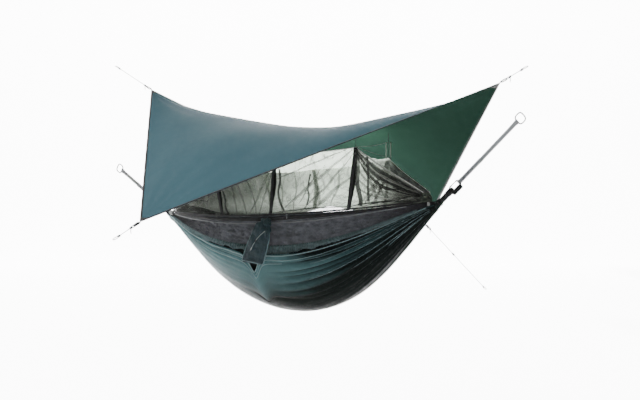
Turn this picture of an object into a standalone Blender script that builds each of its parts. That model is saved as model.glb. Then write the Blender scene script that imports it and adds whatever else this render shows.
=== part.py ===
"""A camping hammock with a net canopy, hung under a square tarp.

Metres, +Z up. Everything is laid out from the middle of the line between the
hammock's two gathered ends, with +X towards the right-hand tree and +Y to the rear.
One empty carries it all, so that the left tree loop is the world's origin.
"""
import bpy
import bmesh
from math import asin, cos, exp, pi, radians, sin
from mathutils import Vector

for old in list(bpy.data.objects):
    bpy.data.objects.remove(old, do_unlink=True)

# The line from gather to gather, and from each gather out to its tree
SPAN = 2.40
FOOT_RISE = 0.13
LEFT_REACH = 0.58
LEFT_CLIMB = 0.335
RIGHT_REACH = 0.60
RIGHT_CLIMB = 0.535

# Clearances
SEAT = 0.0004
SEAM = 0.0007

# The hull that the sleeper lies in
HULL_DEPTH = 0.745
LOWEST_PLACE = 0.12
LEFT_STRAIGHT_SHARE = 0.72
RIGHT_STRAIGHT_SHARE = 0.40
RIM_HALF_WIDTH = 0.36
RIM_SAG = 0.055
RIM_POWER = 2.4
GATHER_HALF_WIDTH = 0.028
GATHER_DEPTH = 0.055
CLOTH = 0.002
LAYER_GAP = 0.005
PANEL_DROP = 0.21
GATHER_FOLD = 0.010
GATHER_FOLDS = 7

# The outer layer's slack hem, which dips under the stuff sack
HEM_DROP = 0.26
HEM_DIP = 0.13
HEM_DIP_PLACE = -0.06
HEM_DIP_REACH = 0.20
HEM_SLACK = 0.040
SLACK_PLACE = 0.22
SLACK_REACH = 0.42

# Bands, piping and zip along the rim
BAND_WIDTH = 0.026
BAND_THICKNESS = 0.0015

BAND_TOP = 0.007
PIPING_DIAMETER = 0.005
PIPING_DROP = 0.050
PIPING_SKIP = 1
ZIP_END_INSET = 0.12
ZIP_END = SPAN / 2 - ZIP_END_INSET
ZIP_TAPE_HEIGHT = 0.007
ZIP_TAPE_THICKNESS = 0.0014
ZIP_SLIT = 0.0026
SLIDER_PLACE = 0.22
SLIDER_TRAVEL = 0.15
SLIDER_LENGTH = 0.014
SLIDER_HEIGHT = 0.010
SLIDER_PLATE = 0.0012
SLIDER_ROOM = 0.0026
SLIDER_NECK = 0.0012
PULL_LENGTH = 0.030
PULL_WIDTH = 0.007
PULL_THICKNESS = 0.0012

# Net canopy: the stations where straps hold it up
NET = 0.0015
NET_TOP_HALF_WIDTH = 0.31
FRONT_TOP_HEIGHTS = {"left": 0.33, "middle": 0.40, "right": 0.42}
REAR_TOP_HEIGHTS = {"left": 0.26, "middle": 0.27, "right": 0.35}
FRONT_TOP_PLACES = {"left": -0.50, "middle": 0.08, "right": 0.76}
REAR_TOP_PLACES = {"left": -0.52, "middle": -0.04, "right": 0.62}
FRONT_RIM_PLACES = {"left": -0.38, "middle": 0.08, "right": 0.68}
REAR_RIM_PLACES = {"left": -0.46, "middle": -0.066, "right": 0.60}
NET_END_INSET = 0.08
NET_END_PLACE = SPAN / 2 - NET_END_INSET
NET_END_HALF_WIDTH = 0.040
NET_END_HEIGHT = 0.060
NET_FOLD = 0.008
NET_FOLDS = 2
REAR_HEM_LIFT = 0.045
REAR_HEM_PLACE = 0.02
REAR_HEM_REACH = 0.42
ROOF_SAG = 0.035
STRAP_WIDTH = 0.022
STRAP_THICKNESS = 0.0015
STRAP_STANDOFF = 0.004
EDGE_SHARE = 0.1
CORD_DIAMETER = 0.003
CORD_TURN = 0.004
CORD_TURN_SHARE = 0.05

# Square tarp, pitched corner to corner
TARP_LEFT = Vector((-1.42, 0.0, 0.90))
TARP_FRONT = Vector((0.05, -1.60, -0.04))
TARP_RIGHT = Vector((1.66, 0.0, 0.83))
TARP_REAR = Vector((0.17, 1.60, -0.20))
RIDGE_LIFT = 0.21
RIDGE_DIP = 0.034
RIDGE_DIP_SHARE = 0.3
TARP_HEM_WIDTH = 0.014
TARP_HEM_THICKNESS = 0.003

# Webbing tabs, guyline rings, knots and lines at the tarp's corners
TAB_LENGTH = 0.050
TAB_WIDTH = 0.018
TAB_THICKNESS = 0.0016
TAB_HALF_HEIGHT = 0.0052
TAB_EYE_DEPTH = 0.005
GUYLINE_DIAMETER = 0.005
GUY_RING_LENGTH = 0.020
GUY_RING_WIDTH = 0.028
KNOT_LENGTH = 0.016
KNOT_DIAMETER = 0.016
KNOT_TAIL = 0.035
END_LOOP_LENGTH = 0.040
END_LOOP_WIDTH = 0.024
GUY_STEP = 0.05
LEFT_GUY_END = Vector((-1.77, 0.0, 1.08))
RIGHT_GUY_END = Vector((1.80, 0.0, 0.90))
FRONT_GUY_END = Vector((0.04, -1.755, -0.113))
REAR_GUY_END = Vector((0.20, 2.56, -0.80))
ADJUSTER_PLACE = 0.52
ADJUSTER_LENGTH = 0.026
ADJUSTER_DIAMETER = 0.015
ADJUSTER_ROOM = 0.0008

# Suspension: rope, carabiner, daisy chain, tree strap and tree loop
NOSE_GAP = 0.0012
NOSE_LENGTH = 0.040
NOSE_HALF_WIDTH = 0.032
NOSE_TIP_SHARE = 0.42
NOSE_PUCKER = 0.003
NOSE_PUCKERS = 9
ROPE_DIAMETER = 0.008
CARABINER_START = 0.135
CARABINER_LENGTH = 0.105
CARABINER_WIDTH = 0.060
CARABINER_BAR = 0.010
CARABINER_POWER = 3.0
GATE_BAR = 0.007
GATE_LENGTH = 0.058
GATE_GAP = 0.0006
BAR_STUB = 0.003
PIN_DIAMETER = 0.003
PIN_ROOM = 0.0003
PIN_REACH = 0.0062
CHEEK_REACH = 0.0042
CHEEK_HEIGHT = 0.0070
CHEEK = 0.0022
CHAIN_WIDTH = 0.028
CHAIN_EYE_ROOM = 0.0075
CHAIN_TAPE = 0.0016
CHAIN_TACKS = 5
CHAIN_POCKET = 0.0018
CHAIN_LENGTH = 0.215
LAP = 0.030
TREE_STRAP_WIDTH = 0.028
TREE_STRAP_TAPE = 0.0018
TREE_LOOP_LENGTH = 0.060
TREE_LOOP_WIDTH = 0.066
TREE_LOOP_DIAMETER = 0.009
TREE_EYE_ROOM = 0.0018

# Stuff sack with its drawcord
SACK_PLACE = 0.075
SACK_DROP = 0.018
SACK_STANDOFF = 0.034
SACK_LENGTH = 0.315
SACK_HALF_WIDTH = 0.092
SACK_HALF_THICKNESS = 0.016
NECK_SHARE = 0.4
SACK_LEAN = radians(22)
DRAWCORD_DIAMETER = 0.0026
DRAWCORD_AWAY = 0.005
COLLAR_OUTER = 0.009
COLLAR_LENGTH = 0.013
COLLAR_ROOM = 0.0006
TIP_LENGTH = 0.020
TIP_DIAMETER = 0.006

# Counts
HULL_COLUMNS = 30
HULL_ROWS = 16
TARP_CELLS = 14
NET_COLUMNS = 20
RING_POINTS = 20
CARABINER_STEPS = 26

# Where the left tree loop lies, which becomes the world's origin
LEFT_GATHER = Vector((-SPAN / 2, 0.0, -FOOT_RISE / 2))
RIGHT_GATHER = Vector((SPAN / 2, 0.0, FOOT_RISE / 2))
LEFT_TREE = LEFT_GATHER + Vector((-LEFT_REACH, 0.0, LEFT_CLIMB))
RIGHT_TREE = RIGHT_GATHER + Vector((RIGHT_REACH, 0.0, RIGHT_CLIMB))
UP = Vector((0.0, 0.0, 1.0))
REARWARD = Vector((0.0, 1.0, 0.0))


def carrier(name, place, parent=None):
    """An empty at a place given from the hammock's middle."""
    empty = bpy.data.objects.new(name, None)
    bpy.context.collection.objects.link(empty)
    empty["place"] = place
    if parent:
        empty.parent = parent
        empty.location = place - Vector(parent["place"])
    return empty


rig = carrier("hammock_middle", Vector((0.0, 0.0, 0.0)))
rig.location = -LEFT_TREE


def finish(name, colour, roughness, metallic=0.0):
    """A plain material of one colour."""
    material = bpy.data.materials.new(name)
    material.use_nodes = True
    shader = material.node_tree.nodes["Principled BSDF"]
    shader.inputs["Base Color"].default_value = (*colour, 1.0)
    shader.inputs["Roughness"].default_value = roughness
    shader.inputs["Metallic"].default_value = metallic
    return material


TARP_COLOUR = (0.105, 0.191, 0.224)
TEAL = (0.060, 0.125, 0.135)
DARK_TEAL = (0.030, 0.060, 0.066)
PURPLE_GREY = (0.060, 0.056, 0.080)
NET_GREY = (0.45, 0.48, 0.44)
BLACK = (0.014, 0.014, 0.015)
GREY = (0.20, 0.20, 0.21)
PALE = (0.55, 0.57, 0.55)
STEEL = (0.30, 0.31, 0.32)


def hold(obj, material, place, parent):
    """Give an object its material and hold it at its place on an empty."""
    obj.data.materials.append(material)
    obj.parent = parent
    obj.location = place - Vector(parent["place"])
    return obj


def solid(name, shape, material, place=Vector((0.0, 0.0, 0.0)), parent=rig):
    """One object out of a shape's points and faces."""
    points, faces = shape
    obj = bpy.data.objects.new(name, mesh_of(name, [point - place for point in points], faces))
    bpy.context.collection.objects.link(obj)
    return hold(obj, material, place, parent)


def mesh_of(name, points, faces):
    """A mesh whose faces all look outwards, smooth but for its sharp edges."""
    mesh = bpy.data.meshes.new(name)
    mesh.from_pydata(points, [], faces)
    form = bmesh.new()
    form.from_mesh(mesh)
    bmesh.ops.recalc_face_normals(form, faces=form.faces)
    form.to_mesh(mesh)
    form.free()
    mesh.shade_smooth()
    mesh.set_sharp_from_angle(angle=radians(40))
    return mesh


def join(obj, shape, operation, name):
    """Add a shape to an object, or cut it out."""
    tool = bpy.data.objects.new(name, mesh_of(name, *shape))
    bpy.context.collection.objects.link(tool)
    tool.parent = rig
    tool.hide_render = True
    tool.display_type = "WIRE"
    step = obj.modifiers.new(name, "BOOLEAN")
    step.operation = operation
    step.solver = "EXACT"
    step.object = tool


def cloth(name, point, columns, rows, thickness, material, parent=rig, closed=False):
    """A sheet through point(a, b), for a and b from 0 to 1, thickened to both sides."""
    rings = columns if closed else columns + 1
    points = [point(i / columns, j / rows) for i in range(rings) for j in range(rows + 1)]
    faces = []
    for i in range(columns):
        following = (i + 1) % rings
        for j in range(rows):
            here = i * (rows + 1) + j
            there = following * (rows + 1) + j
            faces.append([here, there, there + 1, here + 1])
    mesh = bpy.data.meshes.new(name)
    mesh.from_pydata([place - Vector(parent["place"]) for place in points], [], faces)
    mesh.shade_smooth()
    obj = bpy.data.objects.new(name, mesh)
    bpy.context.collection.objects.link(obj)
    hold(obj, material, Vector(parent["place"]), parent)
    thick = obj.modifiers.new("thickness", "SOLIDIFY")
    thick.thickness = thickness
    thick.offset = 0.0
    return obj


def sweep(route, section, across, closed=False):
    """A section carried along a route; its first numbers run along `across`."""
    points = []
    faces = []
    count = len(route)
    sides = len(section)
    for i, place in enumerate(route):
        ahead = route[(i + 1) % count] if closed else route[min(i + 1, count - 1)]
        behind = route[i - 1] if closed else route[max(i - 1, 0)]
        run = (ahead - behind).normalized()
        normal = run.cross(across).normalized()
        wide = normal.cross(run)
        points += [place + wide * a + normal * b for a, b in section]
    for i in range(count if closed else count - 1):
        here = i * sides
        there = (i + 1) % count * sides
        for k in range(sides):
            after = (k + 1) % sides
            faces.append([here + k, here + after, there + after, there + k])
    if not closed:
        faces.append(list(range(sides)))
        faces.append(list(range((count - 1) * sides, count * sides)))
    return points, faces


def flat(width, thickness):
    """A tape's section."""
    a = width / 2
    b = thickness / 2
    return [(-a, -b), (a, -b), (a, b), (-a, b)]


def round_bar(diameter, sides=8):
    """A round section."""
    turns = [2 * pi * k / sides for k in range(sides)]
    return [(cos(turn) * diameter / 2, sin(turn) * diameter / 2) for turn in turns]


def straight(start, end, steps=1):
    """Points along a straight run."""
    return [start.lerp(end, i / steps) for i in range(steps + 1)]


def smooth_route(stops, steps):
    """Points on a smooth curve through the stops, `steps` between each pair."""
    route = []
    for i in range(len(stops) - 1):
        before = stops[max(i - 1, 0)]
        start = stops[i]
        end = stops[i + 1]
        after = stops[min(i + 2, len(stops) - 1)]
        for j in range(steps):
            t = j / steps
            route.append(0.5 * (2 * start + (end - before) * t
                                + (2 * before - 5 * start + 4 * end - after) * t * t
                                + (3 * start - before - 3 * end + after) * t ** 3))
    route.append(stops[-1])
    return route


def power(value, exponent):
    """A power that keeps its sign."""
    return abs(value) ** exponent * (1 if value >= 0 else -1)


def rounded_ring(centre, along, across, length, width, points=RING_POINTS, squareness=2.0):
    """A closed route round a centre, from a circle to nearly a rectangle."""
    route = []
    for i in range(points):
        turn = 2 * pi * i / points
        a = power(cos(turn), 2 / squareness) * length / 2
        b = power(sin(turn), 2 / squareness) * width / 2
        route.append(centre + along * a + across * b)
    return route


def cord(name, route, diameter, material, parent=rig):
    """A round cord along a route."""
    curve = bpy.data.curves.new(name, "CURVE")
    curve.dimensions = "3D"
    curve.bevel_depth = diameter / 2
    curve.bevel_resolution = 2
    curve.use_fill_caps = True
    spline = curve.splines.new("POLY")
    spline.points.add(len(route) - 1)
    for spot, place in zip(spline.points, route):
        spot.co = (*(place - Vector(parent["place"])), 1.0)
    obj = bpy.data.objects.new(name, curve)
    bpy.context.collection.objects.link(obj)
    return hold(obj, material, Vector(parent["place"]), parent)


def barrel(start, along, across, length, diameter, waist_share=0.7, sides=10):
    """A short round lump with drawn-in ends, from start along its run."""
    side = along.cross(across).normalized()
    points = []
    faces = []
    stations = ((0.0, waist_share), (0.2, 1.0), (0.8, 1.0), (1.0, waist_share))
    for share, width_share in stations:
        for k in range(sides):
            turn = 2 * pi * k / sides
            reach = diameter / 2 * width_share
            spoke = across * (cos(turn) * reach) + side * (sin(turn) * reach)
            points.append(start + along * (length * share) + spoke)
    for i in range(len(stations) - 1):
        for k in range(sides):
            after = (k + 1) % sides
            faces.append([i * sides + k, i * sides + after, (i + 1) * sides + after, (i + 1) * sides + k])
    faces.append(list(range(sides)))
    faces.append(list(range((len(stations) - 1) * sides, len(stations) * sides)))
    return points, faces


def sleeve(start, along, across, length, outer, inner, sides=12):
    """A short tube with a bore."""
    side = along.cross(across).normalized()
    points = []
    faces = []
    for share, diameter in ((0.0, outer), (1.0, outer), (1.0, inner), (0.0, inner)):
        for k in range(sides):
            turn = 2 * pi * k / sides
            reach = diameter / 2
            spoke = across * (cos(turn) * reach) + side * (sin(turn) * reach)
            points.append(start + along * (length * share) + spoke)
    for ring in range(4):
        for k in range(sides):
            after = (k + 1) % sides
            following = (ring + 1) % 4 * sides
            faces.append([ring * sides + k, ring * sides + after, following + after, following + k])
    return points, faces


# The hull's shape, which everything on the hammock follows
def line_height(x):
    """The end-to-end line's height."""
    return x * FOOT_RISE / SPAN


def half_width(x):
    """Half the hull's width at its rim."""
    share = min(abs(x) / (SPAN / 2), 1.0)
    return GATHER_HALF_WIDTH + (RIM_HALF_WIDTH - GATHER_HALF_WIDTH) * (1 - share ** RIM_POWER)


def rim_height(x):
    """The rim's height."""
    return line_height(x) - RIM_SAG * (1 - (2 * x / SPAN) ** 2)


def hull_depth(x):
    """The hull's depth under its rim."""
    reach = SPAN / 2 - LOWEST_PLACE if x > LOWEST_PLACE else SPAN / 2 + LOWEST_PLACE
    square = ((x - LOWEST_PLACE) / reach) ** 2
    straight_share = RIGHT_STRAIGHT_SHARE if x > LOWEST_PLACE else LEFT_STRAIGHT_SHARE
    rise_share = square + straight_share * square * square * (1 - square)
    bottom = line_height(x) - GATHER_DEPTH - (HULL_DEPTH - GATHER_DEPTH) * (1 - rise_share)
    return rim_height(x) - bottom


def hull_point(x, turn_share, outward=0.0):
    """A point on the hull: 0 is the front rim, a half the bottom and 1 the rear rim."""
    turn = pi * turn_share
    end_share = abs(2 * x / SPAN)
    fold = GATHER_FOLD * end_share ** 3 * (1 - end_share ** 8) * cos(2 * pi * GATHER_FOLDS * turn_share)
    reach = outward + fold
    height = rim_height(x) - (hull_depth(x) + reach) * sin(turn)
    return Vector((x, -(half_width(x) + reach) * cos(turn), height))


def drop_share(drop):
    """How far round the hull a drop below the rim lies, taken at the hull's middle."""
    return asin(min(drop / hull_depth(0.0), 0.95)) / pi


def rim_point(x, lift=0.0, outward=0.0):
    """A point over the front rim."""
    return hull_point(x, 0.0, outward) + UP * lift


def make_hull():
    """Inner layer, side panels and the slack outer layer."""
    teal = finish("inner_nylon", DARK_TEAL, 0.6)
    purple = finish("panel_nylon", PURPLE_GREY, 0.65)
    outer = finish("outer_nylon", TEAL, 0.55)
    seam_share = drop_share(PANEL_DROP)
    gap_share = SEAM / hull_depth(0.0) / 2

    def inner(a, b):
        """The sleeping layer, from seam to seam."""
        return hull_point((a - 0.5) * SPAN, seam_share + gap_share + b * (1 - 2 * (seam_share + gap_share)))

    def front_panel(a, b):
        """From the front rim down to its lower seam."""
        return hull_point((a - 0.5) * SPAN, b * (seam_share - gap_share))

    def rear_panel(a, b):
        """From the rear rim down to its seam."""
        return hull_point((a - 0.5) * SPAN, 1 - b * (seam_share - gap_share))

    def outer_layer(a, b):
        """The second skin, whose front hem is slack and whose rear hem is sewn on."""
        x = (a - 0.5) * SPAN
        dip = HEM_DIP * exp(-((x - HEM_DIP_PLACE) / HEM_DIP_REACH) ** 2)
        front = drop_share(HEM_DROP + dip)
        rear = 1 - drop_share(HEM_DROP)
        slack = HEM_SLACK * exp(-((x - SLACK_PLACE) / SLACK_REACH) ** 2) * max(1 - 2 * b, 0.0) ** 1.5
        sewn = b == 1 and abs(x) < SPAN / 4
        return hull_point(x, front + b * (rear - front), CLOTH + (SEAM if sewn else LAYER_GAP + slack))

    cloth("inner_layer", inner, HULL_COLUMNS, HULL_ROWS, CLOTH, teal, swing)
    cloth("side_panel_front", front_panel, HULL_COLUMNS, 3, CLOTH, purple, swing)
    cloth("side_panel_rear", rear_panel, HULL_COLUMNS, 3, CLOTH, purple, swing)
    cloth("outer_layer", outer_layer, HULL_COLUMNS, HULL_ROWS, CLOTH, outer, swing)


def make_rim_trim():
    """The band and the piping along the front rim."""
    black = finish("black_tape", BLACK, 0.7)
    grey = finish("grey_piping", GREY, 0.7)
    columns = HULL_COLUMNS - 2
    top_share = drop_share(BAND_TOP)
    band_share = drop_share(BAND_TOP + BAND_WIDTH) - top_share

    def place(share):
        """A place along the rim, between the hull's second columns."""
        return SPAN * ((1 + share * columns) / HULL_COLUMNS - 0.5)

    def band(a, b):
        """The band, which narrows with the hull towards the gathers."""
        return hull_point(place(a), top_share + b * band_share, CLOTH / 2 + SEAM + BAND_THICKNESS / 2)

    cloth("rim_band", band, columns, 1, BAND_THICKNESS, black, swing)
    reach = CLOTH / 2 + SEAM + PIPING_DIAMETER / 2
    steps = range(PIPING_SKIP, columns + 1 - PIPING_SKIP)
    route = [hull_point(place(i / columns), drop_share(PIPING_DROP), reach) for i in steps]
    hung("rim_piping", sweep(route, round_bar(PIPING_DIAMETER, 6), UP), grey)


# The zip: the rim is its lower side, and a tape under the net its upper side
NET_START = ZIP_SLIT + ZIP_TAPE_HEIGHT + SEAM


def make_zip():
    """The upper tape, a slider through the slit, and its pull."""
    black = finish("zip_black", BLACK, 0.5)
    metal = finish("zip_metal", STEEL, 0.35, 1.0)
    steps = 2 * HULL_COLUMNS
    lift = ZIP_SLIT + ZIP_TAPE_HEIGHT / 2
    route = [rim_point(ZIP_END * (2 * i / steps - 1), lift) for i in range(steps + 1)]
    hung("zip_tape", sweep(route, flat(ZIP_TAPE_HEIGHT, ZIP_TAPE_THICKNESS), UP), black)

    start = rim_point(SLIDER_PLACE, ZIP_SLIT / 2)
    along = (rim_point(SLIDER_PLACE + SLIDER_TRAVEL, ZIP_SLIT / 2) - start).normalized()
    slide = carrier("slider_run", start, swing)
    inner = CLOTH / 2 + SLIDER_ROOM
    outer = inner + SLIDER_PLATE
    tall = SLIDER_HEIGHT / 2
    neck = SLIDER_NECK / 2
    profile = [(tall, inner), (tall, outer), (-tall, outer), (-tall, inner), (-neck, inner),
               (-neck, -inner), (-tall, -inner), (-tall, -outer), (tall, -outer), (tall, -inner),
               (neck, -inner), (neck, inner)]
    half = along * (SLIDER_LENGTH / 2)
    solid("zip_slider", sweep([start - half, start + half], profile, UP), metal, start, slide)

    outward = along.cross(UP).normalized()
    hinge = start + outward * (outer + SEAT + PULL_THICKNESS / 2) + UP * (tall - PULL_THICKNESS)
    pull_hinge = carrier("pull_hinge", hinge, slide)
    pull = sweep([hinge, hinge - UP * PULL_LENGTH], flat(PULL_WIDTH, PULL_THICKNESS), along)
    solid("zip_pull", pull, metal, hinge, pull_hinge)


# The net canopy: q counts the stations along it, from the left gather at 0 to the right at 4
STATIONS = ("left", "middle", "right")
FRONT_RIM_STOPS = [-NET_END_PLACE] + [FRONT_RIM_PLACES[k] for k in STATIONS] + [NET_END_PLACE]
REAR_RIM_STOPS = [-NET_END_PLACE] + [REAR_RIM_PLACES[k] for k in STATIONS] + [NET_END_PLACE]


def top_stops(places, heights, side):
    """The net's top corners on one side, from gather to gather."""
    stops = [Vector((places[k], side * NET_TOP_HALF_WIDTH, heights[k])) for k in STATIONS]
    ends = [Vector((x, side * NET_END_HALF_WIDTH, line_height(x) + NET_END_HEIGHT))
            for x in (-NET_END_PLACE, NET_END_PLACE)]
    return [ends[0]] + stops + [ends[1]]


FRONT_TOP = top_stops(FRONT_TOP_PLACES, FRONT_TOP_HEIGHTS, -1)
REAR_TOP = top_stops(REAR_TOP_PLACES, REAR_TOP_HEIGHTS, 1)


def along_stops(stops, q):
    """The value q stations along a list of stops."""
    i = min(int(q), len(stops) - 2)
    return stops[i] + (stops[i + 1] - stops[i]) * (q - i)


def net_low(side, q):
    """The net's lower edge, above the zip in front and lifted at the rear."""
    x = along_stops(FRONT_RIM_STOPS if side < 0 else REAR_RIM_STOPS, q)
    lift = NET_START
    if side > 0:
        lift += REAR_HEM_LIFT * exp(-((x - REAR_HEM_PLACE) / REAR_HEM_REACH) ** 2)
    return Vector((x, -side * hull_point(x, 0.0).y, rim_height(x) + lift))


def net_high(side, q):
    """The net's top edge, just under the roof."""
    return along_stops(FRONT_TOP if side < 0 else REAR_TOP, q) - UP * (NET / 2 + SEAM)


def net_side(side, q, b):
    """A point of the front or rear net, whose folds die out at its edges and stations."""
    fold = NET_FOLD * sin(2 * pi * NET_FOLDS * q) * sin(pi * b)
    return net_low(side, q).lerp(net_high(side, q), b) + REARWARD * fold


def net_cover(q, b):
    """A point of the roof or of a sloping end, which sag between front and rear."""
    sag = ROOF_SAG * 4 * b * (1 - b) * min(q, 4 - q, 1.0)
    return along_stops(FRONT_TOP, q).lerp(along_stops(REAR_TOP, q), b) - UP * sag


def make_net():
    """The front, the rear and the roof with its sloping ends."""
    net = finish("net", NET_GREY, 0.8)
    cloth("net_front", lambda a, b: net_side(-1, 4 * a, b), NET_COLUMNS, 6, NET, net, swing)
    cloth("net_rear", lambda a, b: net_side(1, 4 * a, b), NET_COLUMNS, 4, NET, net, swing)
    cloth("net_roof", lambda a, b: net_cover(4 * a, b), NET_COLUMNS, 4, NET, net, swing)


def make_net_straps():
    """The six straps on the net's faces."""
    finishes = {-1: finish("strap_black", BLACK, 0.7), 1: finish("strap_grey", GREY, 0.7)}
    close = NET / 2 + SEAM + STRAP_THICKNESS / 2
    steps = 6
    for side, face in ((-1, "front"), (1, "rear")):
        for number, station in enumerate(STATIONS):
            q = number + 1
            low = net_low(side, q)
            high = along_stops(FRONT_TOP if side < 0 else REAR_TOP, q) + UP * (NET / 2)
            route = []
            for i in range(steps + 1):
                outward = close + STRAP_STANDOFF * sin(pi * i / steps)
                route.append(low.lerp(high, i / steps) + REARWARD * (side * outward))
            edge = (net_low(side, q + EDGE_SHARE) - net_low(side, q - EDGE_SHARE)).normalized()
            strap = sweep(route, flat(STRAP_WIDTH, STRAP_THICKNESS), edge)
            hung("net_strap_" + face + "_" + station, strap, finishes[side])


# The tarp
TARP_HEM_SHARE = TARP_HEM_WIDTH / (TARP_FRONT - TARP_LEFT).length


def tarp_point(u, v):
    """A point of the tarp: u runs from left to front, v from left to rear, both 0 to 1."""
    level = ((1 - u) * (1 - v) * TARP_LEFT + u * (1 - v) * TARP_FRONT
             + u * v * TARP_RIGHT + (1 - u) * v * TARP_REAR)
    rise_share = (1 - abs(1 - 2 * u) ** 3) * (1 - abs(1 - 2 * v) ** 3)
    dip = RIDGE_DIP * exp(-((u + v - 1 - RIDGE_DIP_SHARE) / RIDGE_DIP_SHARE) ** 2)
    return level + UP * ((RIDGE_LIFT - dip) * rise_share)


def tarp_normal(u, v):
    """The way the tarp's upper face looks."""
    step_share = 0.01
    low_u = min(max(u, step_share), 1 - step_share)
    low_v = min(max(v, step_share), 1 - step_share)
    run_u = tarp_point(low_u + step_share, low_v) - tarp_point(low_u - step_share, low_v)
    run_v = tarp_point(low_u, low_v + step_share) - tarp_point(low_u, low_v - step_share)
    return run_u.cross(run_v).normalized()


def tarp_shares(x, y):
    """The shares u and v of the tarp's point over x and y."""
    u = v = 0.5
    side_u = TARP_FRONT - TARP_LEFT
    side_v = TARP_REAR - TARP_LEFT
    area = side_u.x * side_v.y - side_u.y * side_v.x
    for _ in range(12):
        miss = Vector((x, y, 0.0)) - tarp_point(u, v)
        u += (miss.x * side_v.y - miss.y * side_v.x) / area
        v += (side_u.x * miss.y - side_u.y * miss.x) / area
    return u, v


def tarp_sheet(a, b):
    """A point of the tarp inside its edge tape, for a and b from 0 to 1."""
    run_share = 1 - 2 * TARP_HEM_SHARE
    return tarp_point(TARP_HEM_SHARE + a * run_share, TARP_HEM_SHARE + b * run_share)


def tarp_facet(u, v):
    """A point on the flat triangles that the tarp is made of."""
    run_share = 1 - 2 * TARP_HEM_SHARE
    cells = [(share - TARP_HEM_SHARE) / run_share * TARP_CELLS for share in (u, v)]
    (i, a), (j, b) = [(int(cell), cell - int(cell)) for cell in cells]
    near = tarp_sheet(i / TARP_CELLS, j / TARP_CELLS)
    far = tarp_sheet((i + 1) / TARP_CELLS, (j + 1) / TARP_CELLS)
    if a > b:
        between = tarp_sheet((i + 1) / TARP_CELLS, j / TARP_CELLS)
    else:
        between = tarp_sheet(i / TARP_CELLS, (j + 1) / TARP_CELLS)
    return near + (between - near) * max(a, b) + (far - between) * min(a, b)


def make_tarp():
    """The tarp and the tape round its edges; returns where its corners are."""
    outer = finish("tarp_nylon", TARP_COLOUR, 0.6)
    black = finish("tarp_black", BLACK, 0.7)
    tape_share = TARP_HEM_SHARE * (1 - SEAM / TARP_HEM_WIDTH)
    cloth("tarp", tarp_sheet, TARP_CELLS, TARP_CELLS, CLOTH, outer)


    def edge_tape(a, b):
        """Round the four edges, which meet in mitres at the corners."""
        outer_corners = [(0, 0), (1, 0), (1, 1), (0, 1), (0, 0)]
        side_number = min(int(4 * a), 3)
        share = 4 * a - side_number
        start, end = outer_corners[side_number:side_number + 2]
        inset = b * tape_share
        place = [one + (two - one) * share for one, two in zip(start, end)]
        return tarp_point(*[inset + shown * (1 - 2 * inset) for shown in place])

    cloth("tarp_edge_tape", edge_tape, 4 * TARP_CELLS, 1, TARP_HEM_THICKNESS, black, closed=True)
    return {"left": (0, 0), "front": (1, 0), "right": (1, 1), "rear": (0, 1)}


def make_station_cords():
    """At each station one cord, from the tarp down to the net, across its roof and up again."""
    black = finish("cord_black", BLACK, 0.6)
    radius = CORD_DIAMETER / 2
    across = Vector((1.0, 0.0, 0.0))
    for number, station in enumerate(STATIONS):
        ends = []
        for stops in (FRONT_TOP, REAR_TOP):
            top = stops[number + 1] + UP * (NET / 2 + SEAT + radius)
            normal = tarp_normal(*tarp_shares(top.x, top.y))
            under = (CLOTH / 2 + SEAT + radius * normal.xy.length) / normal.z
            tied = Vector((top.x, top.y, tarp_facet(*tarp_shares(top.x, top.y)).z - under))
            ends.append((top, tied))
        (front, front_tied), (rear, rear_tied) = ends
        inward = (rear - front).normalized() * CORD_TURN
        rise = UP * CORD_TURN
        route = [front_tied, front + rise, front + (rise + inward) * CORD_TURN_SHARE, front + inward,
                 rear - inward, rear + (rise - inward) * CORD_TURN_SHARE, rear + rise, rear_tied]
        hung("station_cord_" + station, sweep(route, round_bar(CORD_DIAMETER, 6), across), black)


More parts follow.
